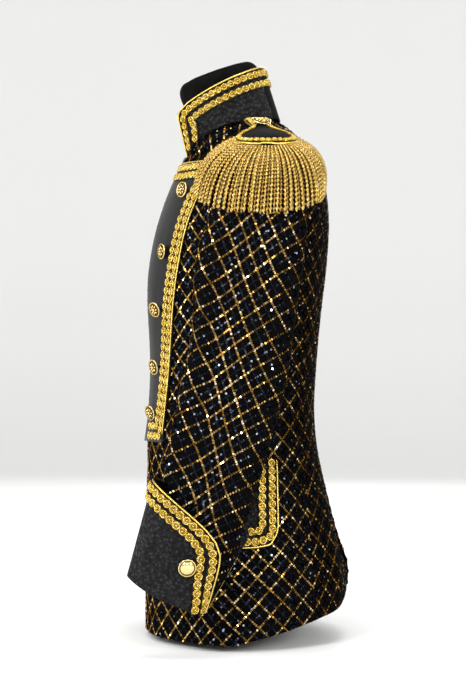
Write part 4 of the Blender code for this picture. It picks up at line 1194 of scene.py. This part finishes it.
# bullion fringe: twisted cords in two layers, hung from the epaulette's rim
fringe = {
    "rimMiddle": (0.2020, 0.0480, 0.7420),
    "rimHalf": (0.0490, 0.0450),
    "rimSlope": 0.0158,
    "rimDrop": 0.0022,
    "hangMiddle": (0.1600, 0.0430, 0.6680),
    "hangHalfX": 0.1140,
    "hangFront": 0.1000,
    "hangBack": 0.0900,
    "hangInnerX": 0.1520,
    "hangDip": 0.0400,
    "squareness": 2.8,
    "bulge": 0.0175,
    "bulgeSpread": 0.0015,
    "shareSpread": 0.004,
    "lengthSpread": (-0.002, 0.003),
    "turn": 102.0,
    "strands": (40, 39),
    "layerGap": 0.0042,
    "thick": 0.0026,
    "waist": 0.50,
    "twists": 9.5,
    "segments": 76,
    "sides": 8,
}


def rimPoint(turn):
    x, y, z = fringe["rimMiddle"]
    hx, hy = fringe["rimHalf"]
    fall = fringe["rimSlope"] * cos(turn) + fringe["rimDrop"]
    return np.array([x + hx * cos(turn), y + hy * sin(turn), z - fall])


def hangPoint(turn):
    halfY = fringe["hangBack"] if turn > 0 else fringe["hangFront"]
    power = 2 / fringe["squareness"]
    cx, cy, cz = fringe["hangMiddle"]
    x = fringe["hangHalfX"] * abs(cos(turn)) ** power * (1 if cos(turn) >= 0 else -1)
    y = halfY * abs(sin(turn)) ** power * (1 if sin(turn) >= 0 else -1)
    return np.array([max(cx + x, fringe["hangInnerX"]), cy + y, cz - fringe["hangDip"] * max(0.0, cos(turn))])


# a curve walked at an even pace: the point a given share of the way along it
def evenWalk(curve, share):
    turns = np.linspace(-radians(fringe["turn"]), radians(fringe["turn"]), 400)
    points = np.array([curve(turn) for turn in turns])
    far = walked(points)
    return between(share * far[-1], far, points)


# one straight twisted cord of length 1: a waisted ring drawn up in steps, each turned on a little
def cordTemplate():
    mesh = bmesh.new()
    made = bmesh.ops.create_circle(mesh, cap_ends=True, segments=fringe["sides"], radius=fringe["thick"])
    bmesh.ops.scale(mesh, verts=made["verts"], vec=(1.0, fringe["waist"], 1.0))
    face = made["verts"][0].link_faces[0]
    stepTurn = Matrix.Rotation(2 * pi * fringe["twists"] / fringe["segments"], 3, "Z")
    for step in range(fringe["segments"]):
        grown = bmesh.ops.extrude_face_region(mesh, geom=[face])
        if step:
            bmesh.ops.delete(mesh, geom=[face], context="FACES_ONLY")
        face = [item for item in grown["geom"] if isinstance(item, bmesh.types.BMFace)][0]
        bmesh.ops.translate(mesh, verts=face.verts, vec=(0.0, 0.0, 1.0 / fringe["segments"]))
        bmesh.ops.rotate(mesh, verts=face.verts, cent=(0, 0, 0), matrix=stepTurn)
    bmesh.ops.recalc_face_normals(mesh, faces=mesh.faces)
    return templateFrom(mesh)


# bends the straight cord to a curve through start and end, bowed outwards
def bentCord(points, start, end, outward, bulge, phase):
    bend = start * 0.58 + end * 0.42 + outward * bulge + np.array([0.0, 0.0, 0.003])
    control = bend * 2 - (start + end) / 2
    t = points[:, 2][:, None]
    centre = start * (1 - t) ** 2 + control * 2 * t * (1 - t) + end * t ** 2
    tangent = (control - start) * 2 * (1 - t) + (end - control) * 2 * t
    tangent /= np.linalg.norm(tangent, axis=1)[:, None]
    sideways = np.cross(tangent, outward)
    sideways /= np.linalg.norm(sideways, axis=1)[:, None]
    out = np.cross(sideways, tangent)
    across = points[:, 0] * cos(phase) - points[:, 1] * sin(phase)
    deep = points[:, 0] * sin(phase) + points[:, 1] * cos(phase)
    return centre + sideways * across[:, None] + out * deep[:, None]


def makeFringe(side):
    points, faces = cordTemplate()
    rng = random.Random(7)
    strands = []
    for layer, count in enumerate(fringe["strands"]):
        inward = fringe["layerGap"] * layer
        for k in range(count):
            share = (k + 0.5) / count
            start = evenWalk(rimPoint, share)
            astray = rng.uniform(-fringe["shareSpread"], fringe["shareSpread"])
            end = evenWalk(hangPoint, min(max(share + astray, 0.0), 1.0))
            outward = unit((end - fringe["hangMiddle"]) * (1, 1, 0))
            start = start - outward * inward
            end = end - outward * inward * 1.6 + (0.0, 0.0, rng.uniform(*fringe["lengthSpread"]))
            bulge = fringe["bulge"] + rng.uniform(-fringe["bulgeSpread"], fringe["bulgeSpread"])
            strands.append(bentCord(points, start, end, outward, bulge, rng.uniform(0, pi)))
    whole = np.concatenate(strands) * (sides[side], 1, 1)
    size = len(points)
    allFaces = [[i + strand * size for i in face] for strand in range(len(strands)) for face in faces]
    data = bpy.data.meshes.new("bullionFringe" + side.capitalize())
    data.from_pydata(whole.tolist(), [], allFaces)
    if sides[side] < 0:
        data.flip_normals()
    piece = newObject("bullionFringe" + side.capitalize(), data)
    paint(piece, "bullion")
    finishPiece(piece)
    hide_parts("epaulette_fringe_" + side)


for side in sides:
    makeFringe(side)
print("stage: fringe")


# floor and backdrop in one: a wide pale bowl, flat in the middle and rising far behind the object
bowl = {
    "colour": "f0f0ef",
    "steps": 48,
    "profile": [(0.0, 0.0), (4.2, 0.0), (4.8, 0.06), (5.3, 0.25), (5.65, 0.6), (5.8, 1.1), (5.85, 2.8)],
}


def makeBowl():
    mesh = bmesh.new()
    turned(mesh, bowl["profile"], bowl["steps"])
    bmesh.ops.recalc_face_normals(mesh, faces=mesh.faces)
    floor = objectFrom("studioBowl", mesh)
    floor.data.shade_smooth()
    floor.data.materials.append(studioPaper(bowl["colour"]))


makeBowl()
print("stage: bowl")
